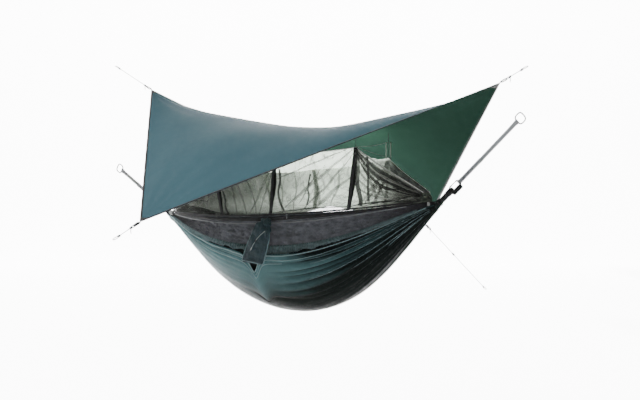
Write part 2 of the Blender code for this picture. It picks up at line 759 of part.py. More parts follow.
def make_corners(corners):
    """At each corner a webbing tab, a guyline ring with its knot and tail, the line and its end loop."""
    webbing = finish("tab_webbing", BLACK, 0.7)
    line_grey = finish("guyline_grey", GREY, 0.6)
    ends = {"left": LEFT_GUY_END, "front": FRONT_GUY_END, "right": RIGHT_GUY_END, "rear": REAR_GUY_END}
    for name, (u, v) in corners.items():
        corner = tarp_point(u, v)
        along = (ends[name] - corner).normalized()
        across = along.cross(tarp_normal(u, v)).normalized()
        normal = across.cross(along)
        middle = corner + along * (SEAM + TAB_THICKNESS / 2 + TAB_LENGTH / 2)
        ring = rounded_ring(middle, along, normal, TAB_LENGTH, 2 * TAB_HALF_HEIGHT, RING_POINTS, 2.6)
        tape = flat(TAB_WIDTH, TAB_THICKNESS)
        solid("corner_tab_" + name, sweep(ring, tape, across, closed=True), webbing)

        bar = middle + along * (TAB_LENGTH / 2 - TAB_EYE_DEPTH)
        ring_middle = bar + along * (GUY_RING_LENGTH / 2)
        ring = rounded_ring(ring_middle, along, across, GUY_RING_LENGTH, GUY_RING_WIDTH, RING_POINTS, 4.0)
        knot_start = bar + along * GUY_RING_LENGTH
        knot_end = knot_start + along * KNOT_LENGTH
        tail_start = knot_start + along * (KNOT_LENGTH / 2)
        tail = straight(tail_start, tail_start - UP * KNOT_TAIL, 2)
        bar_section = round_bar(GUYLINE_DIAMETER, 6)
        wound = barrel(knot_start, along, across, KNOT_LENGTH, KNOT_DIAMETER)
        knot = solid("guy_knot_" + name, wound, webbing)
        join(knot, sweep(ring, bar_section, normal, closed=True), "UNION", "knot_ring_" + name)
        join(knot, sweep(tail, bar_section, across), "UNION", "knot_tail_" + name)

        start = knot_end + along * SEAT
        end = ends[name] - along * SEAT
        steps = max(round((end - start).length / GUY_STEP), 2)
        cord("guyline_" + name, straight(start, end, steps), GUYLINE_DIAMETER, line_grey)
        loop_middle = ends[name] + along * (KNOT_LENGTH + END_LOOP_LENGTH / 2)
        loop = rounded_ring(loop_middle, along, across, END_LOOP_LENGTH, END_LOOP_WIDTH, 16, 2.2)
        wound = barrel(ends[name], along, across, KNOT_LENGTH, KNOT_DIAMETER)
        end_knot = solid("guy_loop_" + name, wound, line_grey)
        join(end_knot, sweep(loop, bar_section, normal, closed=True), "UNION", "loop_ring_" + name)
        if name == "rear":
            run = carrier("adjuster_run", corner + along * ADJUSTER_PLACE, rig)
            adjuster = sleeve(corner + along * (ADJUSTER_PLACE - ADJUSTER_LENGTH / 2), along, across,
                              ADJUSTER_LENGTH, ADJUSTER_DIAMETER, GUYLINE_DIAMETER + 2 * ADJUSTER_ROOM)
            solid("line_adjuster", adjuster, finish("adjuster_black", BLACK, 0.4), Vector(run["place"]), run)


def make_suspension(side_name, gather, tree):
    """From the hull's gathered end to the tree, on one side."""
    black = finish("rope_black", BLACK, 0.6)
    grey = finish("webbing_grey", GREY, 0.7)
    steel = finish("carabiner_black", STEEL, 0.35, 1.0)
    end = 1 if gather.x > 0 else -1
    start = gather + Vector((end * NOSE_GAP, 0.0, -GATHER_DEPTH / 2))
    along = (tree - start).normalized()
    across = REARWARD.cross(along) * end
    across = across if across.z > 0 else -across

    nose = []
    rows = 5
    sides = 2 * NOSE_PUCKERS
    for i in range(rows + 1):
        share = i / rows
        wide = 1 - (1 - NOSE_TIP_SHARE) * share ** 1.6
        upright = UP.lerp(across, share)
        for k in range(sides):
            turn = 2 * pi * k / sides
            reach = NOSE_HALF_WIDTH * wide + (NOSE_PUCKER * (-1) ** k) * sin(pi * share)
            centre = start + along * (NOSE_LENGTH * share)
            nose.append(centre + REARWARD * (reach * cos(turn)) + upright * (reach * sin(turn)))
    nose_faces = [list(range(sides)), list(range(rows * sides, (rows + 1) * sides))]
    for i in range(rows):
        for k in range(sides):
            after = (k + 1) % sides
            here = i * sides
            nose_faces.append([here + k, here + after, here + sides + after, here + sides + k])
    hung(side_name + "_gather", (nose, nose_faces), black)

    low_bar = start + along * CARABINER_START
    high_bar = low_bar + along * (CARABINER_LENGTH - CARABINER_BAR)
    bend = CARABINER_BAR / 2 + SEAT + ROPE_DIAMETER / 2
    strand = start + along * (NOSE_LENGTH + SEAT)
    rope = straight(strand - REARWARD * bend, low_bar - REARWARD * bend, 3)
    turns = [pi * i / 8 for i in range(1, 8)]
    rope += [low_bar - REARWARD * (bend * cos(turn)) + along * (bend * sin(turn)) for turn in turns]
    rope += straight(low_bar + REARWARD * bend, strand + REARWARD * bend, 3)
    hung(side_name + "_rope", sweep(rope, round_bar(ROPE_DIAMETER), across), black)

    make_carabiner(side_name, low_bar.lerp(high_bar, 0.5), along, across, steel)
    chain_end = make_daisy_chain(side_name, high_bar, along, across, grey)
    make_tree_strap(side_name, chain_end, tree, along, across, grey)

    loop = rounded_ring(tree, along, across, TREE_LOOP_LENGTH, TREE_LOOP_WIDTH, RING_POINTS, 3.0)
    solid(side_name + "_tree_loop", sweep(loop, round_bar(TREE_LOOP_DIAMETER), REARWARD, closed=True), black)


def make_carabiner(side_name, middle, along, across, steel):
    """A bent bar whose gate turns on a pin between two cheeks."""
    long = (CARABINER_LENGTH - CARABINER_BAR) / 2
    wide = (CARABINER_WIDTH - CARABINER_BAR) / 2
    mouth = (GATE_LENGTH / 2 / long) ** (CARABINER_POWER / 2)
    opening = asin(mouth)
    route = []
    for i in range(CARABINER_STEPS + 1):
        turn = pi / 2 + opening + (2 * pi - 2 * opening) * i / CARABINER_STEPS
        route.append(middle + along * (power(cos(turn), 2 / CARABINER_POWER) * long)
                     + across * (power(sin(turn), 2 / CARABINER_POWER) * wide))
    route = [route[0] + along * BAR_STUB] + route + [route[-1] - along * BAR_STUB]
    body = hung(side_name + "_carabiner", sweep(route, round_bar(CARABINER_BAR), REARWARD), steel)

    pin_place = route[0] + along * PIN_REACH
    gate_end = route[-1] - along * GATE_GAP
    gate_run = (gate_end - pin_place).normalized()
    gate_start = pin_place - gate_run * (GATE_BAR / 2)
    hinge = carrier(side_name + "_gate_hinge", pin_place, swing)
    gate = solid(side_name + "_gate", sweep([gate_start, gate_end], round_bar(GATE_BAR), REARWARD), steel,
                 pin_place, hinge)

    cheek_reach = GATE_BAR / 2 + PIN_ROOM + CHEEK / 2
    for number, side in ((1, -1), (2, 1)):
        shift = REARWARD * (side * cheek_reach)
        cheek = sweep([route[0] - along * CHEEK_REACH + shift, pin_place + along * CHEEK_REACH + shift],
                      flat(CHEEK_HEIGHT, CHEEK), across)
        join(body, cheek, "UNION", side_name + "_cheek_" + str(number))
    hole = sweep([pin_place - REARWARD * CARABINER_BAR, pin_place + REARWARD * CARABINER_BAR],
                 round_bar(PIN_DIAMETER + 2 * PIN_ROOM, 12), across)
    join(body, hole, "DIFFERENCE", side_name + "_cheek_hole")
    join(gate, hole, "DIFFERENCE", side_name + "_gate_hole")
    half = REARWARD * (cheek_reach + CHEEK / 2)
    pin = sweep([pin_place - half, pin_place + half], round_bar(PIN_DIAMETER, 12), across)
    hung(side_name + "_gate_pin", pin, steel)


def make_daisy_chain(side_name, bar, along, across, grey):
    """A webbing sling, tacked together at even steps, from the carabiner's bar towards the tree."""
    eye = CARABINER_BAR / 2 + SEAT + CHAIN_TAPE / 2
    close = CHAIN_TAPE / 2 + SEAT
    steps = 4 * CHAIN_TACKS
    lead = CHAIN_LENGTH / CHAIN_TACKS

    def half_gap(reach):
        """Half the distance between the two runs of tape."""
        pocket = CHAIN_POCKET * sin(pi * CHAIN_TACKS * reach / CHAIN_LENGTH) ** 2
        return close + pocket + max(1 - reach / lead, 0.0) ** 2 * (eye - close)

    one = []
    for i in range(steps + 1):
        reach = CHAIN_LENGTH * i / steps
        one.append((reach, half_gap(reach)))
    route = [bar + along * reach + REARWARD * gap for reach, gap in one]
    route += [bar + along * reach - REARWARD * gap for reach, gap in reversed(one)]
    inward = eye + CHAIN_EYE_ROOM
    turns = [pi * i / 6 for i in range(1, 6)]
    route += [bar - along * (inward * sin(turn)) - REARWARD * (eye * cos(turn)) for turn in turns]
    hung(side_name + "_daisy_chain", sweep(route, flat(CHAIN_WIDTH, CHAIN_TAPE), across, closed=True), grey)
    return bar + along * CHAIN_LENGTH


def make_tree_strap(side_name, chain_end, tree, along, across, grey):
    """A strap lapped on the daisy chain, with a sewn eye round the tree loop's near bar."""
    lap_gap = CHAIN_TAPE + 2 * SEAT + CHAIN_POCKET + TREE_STRAP_TAPE / 2
    close = TREE_STRAP_TAPE / 2 + SEAT
    near_bar = tree - along * (TREE_LOOP_LENGTH / 2)
    eye = TREE_LOOP_DIAMETER / 2 + TREE_EYE_ROOM + TREE_STRAP_TAPE / 2
    route = [chain_end - along * LAP + REARWARD * lap_gap, chain_end + REARWARD * lap_gap,
             chain_end + along * LAP + REARWARD * close, near_bar - along * LAP + REARWARD * close,
             near_bar - along * (LAP / 3) + REARWARD * eye]
    turns = [pi * i / 8 for i in range(9)]
    route += [near_bar + along * (eye * sin(turn)) + REARWARD * (eye * cos(turn)) for turn in turns]
    route += [near_bar - along * (LAP / 3) - REARWARD * eye, near_bar - along * LAP - REARWARD * close,
              near_bar - along * (2 * LAP) - REARWARD * close]
    hung(side_name + "_tree_strap", sweep(route, flat(TREE_STRAP_WIDTH, TREE_STRAP_TAPE), across), grey)


# The stuff sack
def make_sack():
    """A stuff sack sewn to the front rim, with its drawcord, collar and tip."""
    teal = finish("sack_nylon", TEAL, 0.6)
    black = finish("sack_black", BLACK, 0.5)
    pale = finish("cord_pale", PALE, 0.5)
    outward = Vector((0.0, -1.0, 0.0))
    sideways = Vector((1.0, 0.0, 0.0))
    band_face = CLOTH / 2 + SEAM + BAND_THICKNESS
    top = rim_point(SACK_PLACE, -SACK_DROP, band_face + SEAT + SACK_HALF_THICKNESS * NECK_SHARE)
    hinge = carrier("sack_hinge", top, swing)
    down = -UP * cos(SACK_LEAN) - sideways * sin(SACK_LEAN)
    wide_way = sideways * cos(SACK_LEAN) - UP * sin(SACK_LEAN)
    middle_line = outward * SACK_STANDOFF
    width_shares = ((0.0, 0.20, NECK_SHARE), (0.06, 0.22, 0.5), (0.12, 0.34, 0.75), (0.22, 0.66, 1.0),
                    (0.45, 0.86, 1.0), (0.75, 0.96, 0.9), (0.94, 1.0, 0.55), (1.0, 0.92, 0.2))

    def centre(share):
        """The sack's middle line, which moves clear of the rim just below its neck."""
        return top + down * (SACK_LENGTH * share) + middle_line * min(share / 0.22, 1.0)

    sides = 14
    points = []
    for share, width_share, thick_share in width_shares:
        for k in range(sides):
            turn = 2 * pi * k / sides
            a = power(cos(turn), 0.8) * SACK_HALF_WIDTH * width_share
            b = power(sin(turn), 0.8) * SACK_HALF_THICKNESS * thick_share
            points.append(centre(share) + wide_way * a + outward * b)
    rows = len(width_shares)
    faces = [list(range(sides)), list(range((rows - 1) * sides, rows * sides))]
    for i in range(rows - 1):
        for k in range(sides):
            after = (k + 1) % sides
            faces.append([i * sides + k, i * sides + after, (i + 1) * sides + after, (i + 1) * sides + k])
    solid("stuff_sack", (points, faces), teal, Vector(hinge["place"]), hinge)

    skin = SACK_HALF_THICKNESS + SEAT + DRAWCORD_DIAMETER / 2
    stops = []
    cord_shares = ((0.24, 0.40, -0.44), (0.30, 0.26, 0.4), (0.40, 0.06, 0.8), (0.52, -0.12, 1.0),
                   (0.64, -0.24, 1.0), (0.74, -0.30, 1.0))
    for share, side_share, away_share in cord_shares:
        sideways_reach = wide_way * (SACK_HALF_WIDTH * side_share)
        stops.append(centre(share) + sideways_reach + outward * (skin + DRAWCORD_AWAY * away_share))
    route = smooth_route(stops, 4)
    cord("sack_drawcord", route, DRAWCORD_DIAMETER, pale, hinge)

    run = (stops[4] - stops[3]).normalized()
    place = stops[3].lerp(stops[4], 0.3)
    collar_run = carrier("collar_run", place, hinge)
    collar = sleeve(place - run * (COLLAR_LENGTH / 2), run, outward, COLLAR_LENGTH, COLLAR_OUTER,
                    DRAWCORD_DIAMETER + 2 * COLLAR_ROOM)
    solid("cord_lock", collar, black, place, collar_run)
    last_run = (route[-1] - route[-2]).normalized()
    tip = barrel(route[-1] + last_run * SEAT, last_run, outward, TIP_LENGTH, TIP_DIAMETER, 0.6)
    solid("drawcord_tip", tip, pale, Vector(hinge["place"]), hinge)


left_start = LEFT_GATHER + Vector((-NOSE_GAP, 0.0, -GATHER_DEPTH / 2))
left_pivot = LEFT_TREE - (LEFT_TREE - left_start).normalized() * (TREE_LOOP_LENGTH / 2)
swing = carrier("swing_axis", left_pivot, rig)


def hung(name, shape, material):
    """A piece of the hammock, held on the swing axis."""
    return solid(name, shape, material, Vector(swing["place"]), swing)


make_hull()
make_rim_trim()
make_zip()
make_net()
make_net_straps()
make_station_cords()
make_corners(make_tarp())
make_suspension("left", LEFT_GATHER, LEFT_TREE)
make_suspension("right", RIGHT_GATHER, RIGHT_TREE)
make_sack()
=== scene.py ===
"""The camping hammock dressed for its picture: cloth, net, webbing, cord and fittings.

Metres, +Z up. Shapes are laid out from the middle of the line between the two
gathered ends, as in the part's own source, and move by MIDDLE into the frame.
"""

from math import asin, cos, exp, hypot, pi, radians, sin

import bpy
import bmesh
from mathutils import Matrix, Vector, noise


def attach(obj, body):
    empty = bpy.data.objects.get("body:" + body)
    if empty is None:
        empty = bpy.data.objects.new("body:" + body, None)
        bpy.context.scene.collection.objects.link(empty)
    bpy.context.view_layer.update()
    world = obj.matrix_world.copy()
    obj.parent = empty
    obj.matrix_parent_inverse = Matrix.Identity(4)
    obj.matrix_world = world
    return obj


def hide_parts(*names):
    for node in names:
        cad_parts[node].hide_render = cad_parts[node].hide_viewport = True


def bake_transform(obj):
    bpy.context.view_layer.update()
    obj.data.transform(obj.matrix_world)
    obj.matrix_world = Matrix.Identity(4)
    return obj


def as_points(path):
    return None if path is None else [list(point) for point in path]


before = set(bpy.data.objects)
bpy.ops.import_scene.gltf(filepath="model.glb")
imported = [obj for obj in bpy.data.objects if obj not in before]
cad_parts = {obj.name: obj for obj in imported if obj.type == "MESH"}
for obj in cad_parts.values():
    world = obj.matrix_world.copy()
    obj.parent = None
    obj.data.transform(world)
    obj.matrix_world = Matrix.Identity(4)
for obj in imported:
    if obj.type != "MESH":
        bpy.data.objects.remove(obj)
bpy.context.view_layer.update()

UP = Vector((0.0, 0.0, 1.0))
REARWARD = Vector((0.0, 1.0, 0.0))
RIGHTWARD = Vector((1.0, 0.0, 0.0))

# The part's own sizes
SPAN = 2.40
FOOT_RISE = 0.13
MIDDLE = Vector((1.78, 0.0, -0.27))
LEFT_GATHER = Vector((-1.20, 0.0, -0.065))
RIGHT_GATHER = Vector((1.20, 0.0, 0.065))
LEFT_TREE = Vector((-1.78, 0.0, 0.27))
RIGHT_TREE = Vector((1.80, 0.0, 0.60))
HULL_DEPTH = 0.745
LOWEST_PLACE = 0.12
LEFT_STRAIGHT_SHARE = 0.72
RIGHT_STRAIGHT_SHARE = 0.40
RIM_HALF_WIDTH = 0.36
RIM_SAG = 0.055
RIM_POWER = 2.4
GATHER_HALF_WIDTH = 0.028
GATHER_DEPTH = 0.055
PANEL_DROP = 0.21
LAYER_GAP = 0.007
HEM_DROP = 0.25
HEM_DIP = 0.125
HEM_DIP_PLACE = -0.10
HEM_SLACK = 0.040
SLACK_PLACE = 0.22
SLACK_REACH = 0.42
BAND_TOP = 0.007
BAND_WIDTH = 0.026
NET_START = 0.0103
NET_TOP_HALF_WIDTH = 0.31
FRONT_TOP_HEIGHTS = (0.33, 0.40, 0.42)
REAR_TOP_HEIGHTS = (0.26, 0.27, 0.35)
FRONT_TOP_PLACES = (-0.50, 0.08, 0.76)
REAR_TOP_PLACES = (-0.52, -0.04, 0.62)
FRONT_RIM_PLACES = (-0.38, 0.08, 0.68)
REAR_RIM_PLACES = (-0.46, -0.066, 0.60)
NET_END_PLACE = 1.12
NET_END_HALF_WIDTH = 0.040
NET_END_HEIGHT = 0.060
REAR_HEM_LIFT = 0.044
REAR_HEM_PLACE = 0.07
REAR_HEM_REACH = 0.17
ROOF_SAG = 0.035
TARP_LEFT = Vector((-1.42, 0.0, 0.90))
TARP_FRONT = Vector((0.05, -1.60, -0.04))
TARP_RIGHT = Vector((1.66, 0.0, 0.83))
TARP_REAR = Vector((0.17, 1.60, -0.20))
RIDGE_LIFT = 0.21
RIDGE_DIP = 0.034
RIDGE_DIP_SHARE = 0.3
GUY_ENDS = {"left": Vector((-1.77, 0.0, 1.08)), "front": Vector((0.04, -1.755, -0.113)),
            "right": Vector((1.80, 0.0, 0.90)), "rear": Vector((0.20, 2.56, -0.80))}
CORD = 0.005
STATION_CORD = 0.003
CORD_TURN = 0.004
TAB_LENGTH = 0.050
TAB_TAPE = 0.0016
TAB_EYE_DEPTH = 0.005
GUY_RING_LENGTH = 0.020
GUY_RING_WIDTH = 0.028
KNOT_LENGTH = 0.016
KNOT_TAIL = 0.035
KNOT_COIL_RADIUS = 0.0054
KNOT_TURNS = 3
END_LOOP_LENGTH = 0.040
END_LOOP_WIDTH = 0.024

# Camera
LENS = 63.16
TARGET = Vector((0.242, 0.0, 0.053))
CAMERA_PLACE = Vector((4.941, -6.468, 0.332))

camera = bpy.data.objects.new("camera", bpy.data.cameras.new("camera"))
bpy.context.collection.objects.link(camera)
camera.data.lens = LENS
camera.location = MIDDLE + CAMERA_PLACE
camera.rotation_euler = (TARGET - CAMERA_PLACE).to_track_quat("-Z", "Y").to_euler()
bpy.context.scene.camera = camera


# Materials
class Value:
    """A number inside a material, which takes the usual signs."""

    def __init__(self, finish, socket):
        self.finish = finish
        self.socket = socket

    def _join(self, operation, first, second):
        """One Math node."""
        node = self.finish.node("Math", {"operation": operation}, {0: first, 1: second})
        return Value(self.finish, node.outputs[0])

    def __add__(self, other):
        return self._join("ADD", self, other)

    def __radd__(self, other):
        return self._join("ADD", other, self)

    def __sub__(self, other):
        return self._join("SUBTRACT", self, other)

    def __rsub__(self, other):
        return self._join("SUBTRACT", other, self)

    def __mul__(self, other):
        return self._join("MULTIPLY", self, other)

    def __rmul__(self, other):
        return self._join("MULTIPLY", other, self)

    def __pow__(self, other):
        return self._join("POWER", self, other)

    def __gt__(self, other):
        return self._join("GREATER_THAN", self, other)

    def sine(self):
        return self._join("SINE", self, 0.0)

    def size(self):
        return self._join("ABSOLUTE", self, 0.0)


class Finish:
    """A material in the making. `lay` is the cloth's own coordinates, in metres."""

    def __init__(self, name, roughness, metallic=0.0, sheen=0.0, specular=0.5):
        self.material = bpy.data.materials.new(name)
        self.material.use_nodes = True
        self.tree = self.material.node_tree
        self.shader = self.tree.nodes["Principled BSDF"]
        for socket, value in (("Roughness", roughness), ("Metallic", metallic), ("Sheen Weight", sheen),
                              ("Specular IOR Level", specular)):
            self.constant(socket, value)
        self.lay = self.node("Attribute", {"attribute_name": "lay"}).outputs["Vector"]
        parts = self.node("SeparateXYZ", {}, {0: self.lay})
        self.across = Value(self, parts.outputs[0])
        self.along = Value(self, parts.outputs[1])
        self.depth = Value(self, parts.outputs[2])

    def node(self, kind, settings=None, inputs=None):
        """A node of one kind with its settings, then the values or links of its sockets."""
        node = self.tree.nodes.new("ShaderNode" + kind)
        for setting, value in (settings or {}).items():
            setattr(node, setting, value)
        for socket, value in (inputs or {}).items():
            if isinstance(value, Value):
                value = value.socket
            if isinstance(value, bpy.types.NodeSocket):
                self.tree.links.new(value, node.inputs[socket])
            else:
                node.inputs[socket].default_value = value
        return node

    def mottle(self, size, detail=3.0, stretch=(1.0, 1.0, 1.0)):
        """Soft noise from 0 to 1, with blotches of about that size in metres."""
        place = self.node("VectorMath", {"operation": "MULTIPLY"}, {0: self.lay, 1: stretch})
        cloud = self.node("TexNoise", {}, {"Vector": place.outputs[0], "Scale": 1 / size, "Detail": detail})
        return Value(self, cloud.outputs["Fac"])

    def blend(self, share, first, second):
        """A colour between two colours."""
        ends = {"Factor": share, "A": whole_colour(first), "B": whole_colour(second)}
        return self.node("Mix", {"data_type": "RGBA"}, ends).outputs["Result"]

    def constant(self, name, value):
        """What is the same all over the surface."""
        self.shader.inputs[name].default_value = value

    def vary(self, name, value):
        """What changes over the surface: a value or a colour."""
        self.tree.links.new(value.socket if isinstance(value, Value) else value, self.shader.inputs[name])

    def bump(self, height, metres):
        """Raise the surface by a height from 0 to 1 times a depth."""
        self.vary("Normal", self.node("Bump", {}, {"Height": height, "Distance": metres}).outputs[0])


def whole_colour(value):
    """Three numbers become a colour; a link stays a link."""
    return (*value, 1.0) if isinstance(value, tuple) else value


def dimmed(tone, share):
    """A tone times a share, up to white."""
    return tuple(min(part * share, 1.0) for part in tone)


def waves(value, pitch):
    """One wave from -1 to 1 in each pitch."""
    return (value * (2 * pi / pitch)).sine()


def hills(value, pitch):
    """The same from 0 to 1."""
    return waves(value, pitch) * 0.5 + 0.5


# Sizes inside the finishes
WEAVE = 0.0011
RIPSTOP = 0.0055
RIPSTOP_LINE = 0.985
GRAIN = 0.018
CRINKLE = 0.035
SHINE_BLOTCH = 0.05
RIB = 0.0016
FLUFF = 0.012
BRAID = 0.0030
BRAID_BLOTCH = 0.01
NET_HOLE = 0.0022
NET_BLOTCH = 0.09
NET_THICKNESS_BLOTCH = 0.05
LONG_CREASE = 0.075
SLANT_CREASE = 0.11
NET_LIGHT = (0.90, 1.0, 0.87)
FOLD_STRAND = 0.0042
FOLD_BLOTCH = 0.03
WEAR_PER_METRE = 180.0
WEAR_DEPTH = 0.00008
BLACK = (0.0, 0.0, 0.0)
WHITE = (1.0, 1.0, 1.0)


def cloth_finish(name, light, dark, roughness, sheen, crinkle, blotch=0.22, shade=None, specular=0.08):
    """Nylon: two close tones, a ripstop grid, a weave and small crinkles, and painted shade where depth is 1.
    """
    finish = Finish(name, roughness, sheen=sheen * 0.3, specular=specular)
    tone = finish.mottle(blotch, 4.0)
    fine = finish.mottle(GRAIN)
    body = finish.blend(tone * 0.8 + fine * 0.3 - 0.05, dark, light)
    weave = waves(finish.across, WEAVE) * waves(finish.along, WEAVE) * 0.5 + 0.5
    height = weave * 0.10 + finish.mottle(CRINKLE, 5.0) * 0.9
    lines = waves(finish.across, 2 * RIPSTOP).size() > RIPSTOP_LINE
    rows = waves(finish.along, 2 * RIPSTOP).size() > RIPSTOP_LINE
    grid = lines + rows
    body = finish.blend(grid * 0.16, body, dimmed(light, 1.7))
    # Painted shade: the colour goes towards the shade tone as depth goes to 1.
    if shade:
        body = finish.blend(finish.depth, body, shade)
    finish.vary("Base Color", body)
    finish.vary("Roughness", finish.mottle(SHINE_BLOTCH, 2.0) * 0.16 + (roughness - 0.08))
    finish.bump(height + grid * 0.05, crinkle)
    return finish.material


def webbing_finish(name, light, dark):
    """Woven tape: ribs along it, picks across it, a little fluff."""
    finish = Finish(name, 0.72, sheen=0.25, specular=0.25)
    ribs = hills(finish.across, RIB)
    picks = hills(finish.along, RIB * 1.3)
    share = ribs * 0.35 + picks * 0.2 + finish.mottle(FLUFF) * 0.45
    finish.vary("Base Color", finish.blend(share, dark, light))
    finish.bump(ribs * 0.6 + picks * 0.4, RIB * 0.25)
    return finish.material


def braid_finish(name, light, dark, fleck=None):
    """Braided cord: crossing strands, with a fleck where one is given."""
    finish = Finish(name, 0.7, sheen=0.2, specular=0.3)
    turn = finish.across * (2 * pi)
    run = finish.along * (2 * pi / BRAID)
    strands = ((run + turn * 4).sine() * (run - turn * 4).sine()).size()
    body = finish.blend(strands * 0.8 + finish.mottle(BRAID_BLOTCH) * 0.2, dark, light)
    if fleck:
        marks = (run * 0.5 + turn * 2).sine() > 0.93
        body = finish.blend(marks * 0.7, body, fleck)
    finish.vary("Base Color", body)
    finish.bump(strands, CORD * 0.12)
    return finish.material


def net_finish(name, thread, cover, ends, crease_dark, glow=0.0):
    """Insect net: threads, holes and creases, darkened as painted shade where depth is high and in the
    creases.

    `ends` thickens or thins it towards the gathers, and `glow` is painted light for the light that comes
    through it.
    """
    finish = Finish(name, 0.85, sheen=0.1, specular=0.05)
    lines = waves(finish.across, 2 * NET_HOLE).size() ** 6.0
    rows = waves(finish.along, 2 * NET_HOLE).size() ** 6.0
    mesh = lines + rows - lines * rows
    body = finish.blend(finish.mottle(NET_BLOTCH), dimmed(thread, 0.86), thread)
    # Painted shade: darker where depth is high.
    body = finish.blend(finish.depth * 0.95, body, dimmed(thread, 0.13))
    long = finish.mottle(LONG_CREASE, 2.5, (1.0, 0.35, 1.0))
    slant = finish.mottle(SLANT_CREASE, 2.0, (1.0, 0.8, 1.0))
    crease = (1 - (long - 0.5).size() * 2) ** 22.0 * 0.6 + (1 - (slant - 0.5).size() * 2) ** 30.0 * 0.5
    # Painted shade along the creases.
    finish.vary("Base Color", finish.blend(crease * crease_dark, body, dimmed(thread, 0.22)))
    uneven = (finish.mottle(NET_THICKNESS_BLOTCH, 2.0) - 0.5) * 0.12
    finish.vary("Alpha", mesh * 0.4 + cover - 0.18 + uneven + crease * 0.35 + finish.depth * ends)
    # Painted light: a glow in the nets' light tint, fading where depth is high.
    if glow:
        finish.vary("Emission Color", finish.blend(finish.depth, NET_LIGHT, BLACK))
        finish.constant("Emission Strength", glow)
    return finish.material


def fold_finish(name, tone, cover):
    """Net gathered several layers thick: solid along its middle and thin at both edges, where depth is 1."""
    finish = Finish(name, 0.85, sheen=0.1, specular=0.05)
    share = hills(finish.across, FOLD_STRAND) * 0.45 + finish.mottle(FOLD_BLOTCH) * 0.5
    finish.vary("Base Color", finish.blend(share, dimmed(tone, 0.45), tone))
    middle = 1 - finish.depth * finish.depth
    streaks = finish.mottle(FOLD_BLOTCH, 2.0, (3.0, 0.4, 1.0)) * 0.9 + 0.5
    finish.vary("Alpha", middle * streaks * cover)
    return finish.material


def hard_finish(name, light, dark, roughness=0.32, metallic=1.0):
    """Anodised or plated metal, or plastic, with faint wear."""
    finish = Finish(name, roughness, metallic=metallic)
    place = finish.node("TexCoord").outputs["Object"]
    cloud = finish.node("TexNoise", {}, {"Vector": place, "Scale": WEAR_PER_METRE, "Detail": 4.0})
    wear = Value(finish, cloud.outputs["Fac"])
    finish.vary("Base Color", finish.blend(wear, dark, light))
    finish.vary("Roughness", wear * 0.2 + (roughness - 0.1))
    finish.bump(wear, WEAR_DEPTH)
    return finish.material


TARP_TOP = cloth_finish("tarp_top", (0.066, 0.138, 0.168), (0.056, 0.118, 0.145), roughness=0.62,
                        sheen=0.0, crinkle=0.0006)
# The tarp's underside: its own green, darkened as painted shade.
TARP_UNDER = cloth_finish("tarp_under", (0.0250, 0.0560, 0.0420), (0.0200, 0.0460, 0.0340), roughness=0.8,
                          sheen=0.0, crinkle=0.0010, specular=0.0)
# Teal nylon; its shade tone is painted shade, laid on where hull_shade says.
TEAL = cloth_finish("teal_nylon", (0.134, 0.264, 0.280), (0.060, 0.128, 0.140), roughness=0.5,
                    sheen=0.2, crinkle=0.0022, shade=(0.0030, 0.0042, 0.0022))
# Dark teal for the sleeping layer and the gathered ends: teal cloth darkened as painted shade for where it
# lies in shadow.
DARK = cloth_finish("dark_nylon", (0.030, 0.044, 0.040), (0.014, 0.019, 0.016), roughness=0.6,
                    sheen=0.1, crinkle=0.0016)
PANEL = cloth_finish("panel_nylon", (0.270, 0.280, 0.320), (0.018, 0.021, 0.030), roughness=0.5,
                     sheen=0.2, crinkle=0.0160, blotch=0.060, shade=(0.006, 0.006, 0.007),
                     specular=0.35)
FRILL = cloth_finish("frill_nylon", (0.190, 0.270, 0.285), (0.018, 0.030, 0.034), roughness=0.5,
                     sheen=0.2, crinkle=0.0070, blotch=0.018, specular=0.35)
SACK = cloth_finish("sack_nylon", (0.064, 0.106, 0.122), (0.010, 0.018, 0.024), roughness=0.5,
                    sheen=0.25, crinkle=0.0060, blotch=0.045, specular=0.2)
BLACK_TAPE = webbing_finish("black_tape", (0.026, 0.026, 0.028), (0.010, 0.010, 0.011))
PALE_SEAM = webbing_finish("pale_seam", (0.36, 0.48, 0.50), (0.20, 0.30, 0.31))
SACK_SEAM = webbing_finish("sack_seam", (0.26, 0.38, 0.41), (0.12, 0.19, 0.21))
GREY_TAPE = webbing_finish("grey_tape", (0.34, 0.35, 0.36), (0.20, 0.21, 0.22))
PALE_TAPE = webbing_finish("pale_tape", (0.92, 0.94, 0.92), (0.76, 0.78, 0.76))
BLACK_CORD = braid_finish("black_cord", (0.030, 0.030, 0.032), (0.010, 0.010, 0.011))
GREY_CORD = braid_finish("grey_cord", (0.010, 0.010, 0.011), (0.004, 0.004, 0.005), fleck=(0.09, 0.09, 0.10))
SACK_CORD = braid_finish("sack_cord", (0.85, 0.90, 0.90), (0.45, 0.50, 0.50))
HANGER_TAPE = webbing_finish("hanger_tape", (0.16, 0.19, 0.17), (0.09, 0.11, 0.10))
PALE_CORD = braid_finish("pale_cord", (0.72, 0.74, 0.72), (0.45, 0.46, 0.45))
FRONT_NET = net_finish("front_net", (0.40, 0.44, 0.38), cover=0.17, ends=0.55, crease_dark=0.5)
# The rear and roof nets are the same net in lighter tones with a glow: painted light for the light that comes
# through them.
REAR_NET = net_finish("rear_net", (0.60, 0.66, 0.59), cover=0.90, ends=0.05, crease_dark=0.25,
                      glow=1.55)
ROOF_NET = net_finish("roof_net", (0.86, 0.88, 0.85), cover=0.93, ends=-0.55, crease_dark=0.10,
                      glow=3.6)
NET_FOLD = fold_finish("net_fold", (0.30, 0.32, 0.28), cover=0.40)
# Nearly black net: painted shade in the gathered net.
DARK_FOLD = fold_finish("dark_fold", (0.050, 0.053, 0.047), cover=0.85)
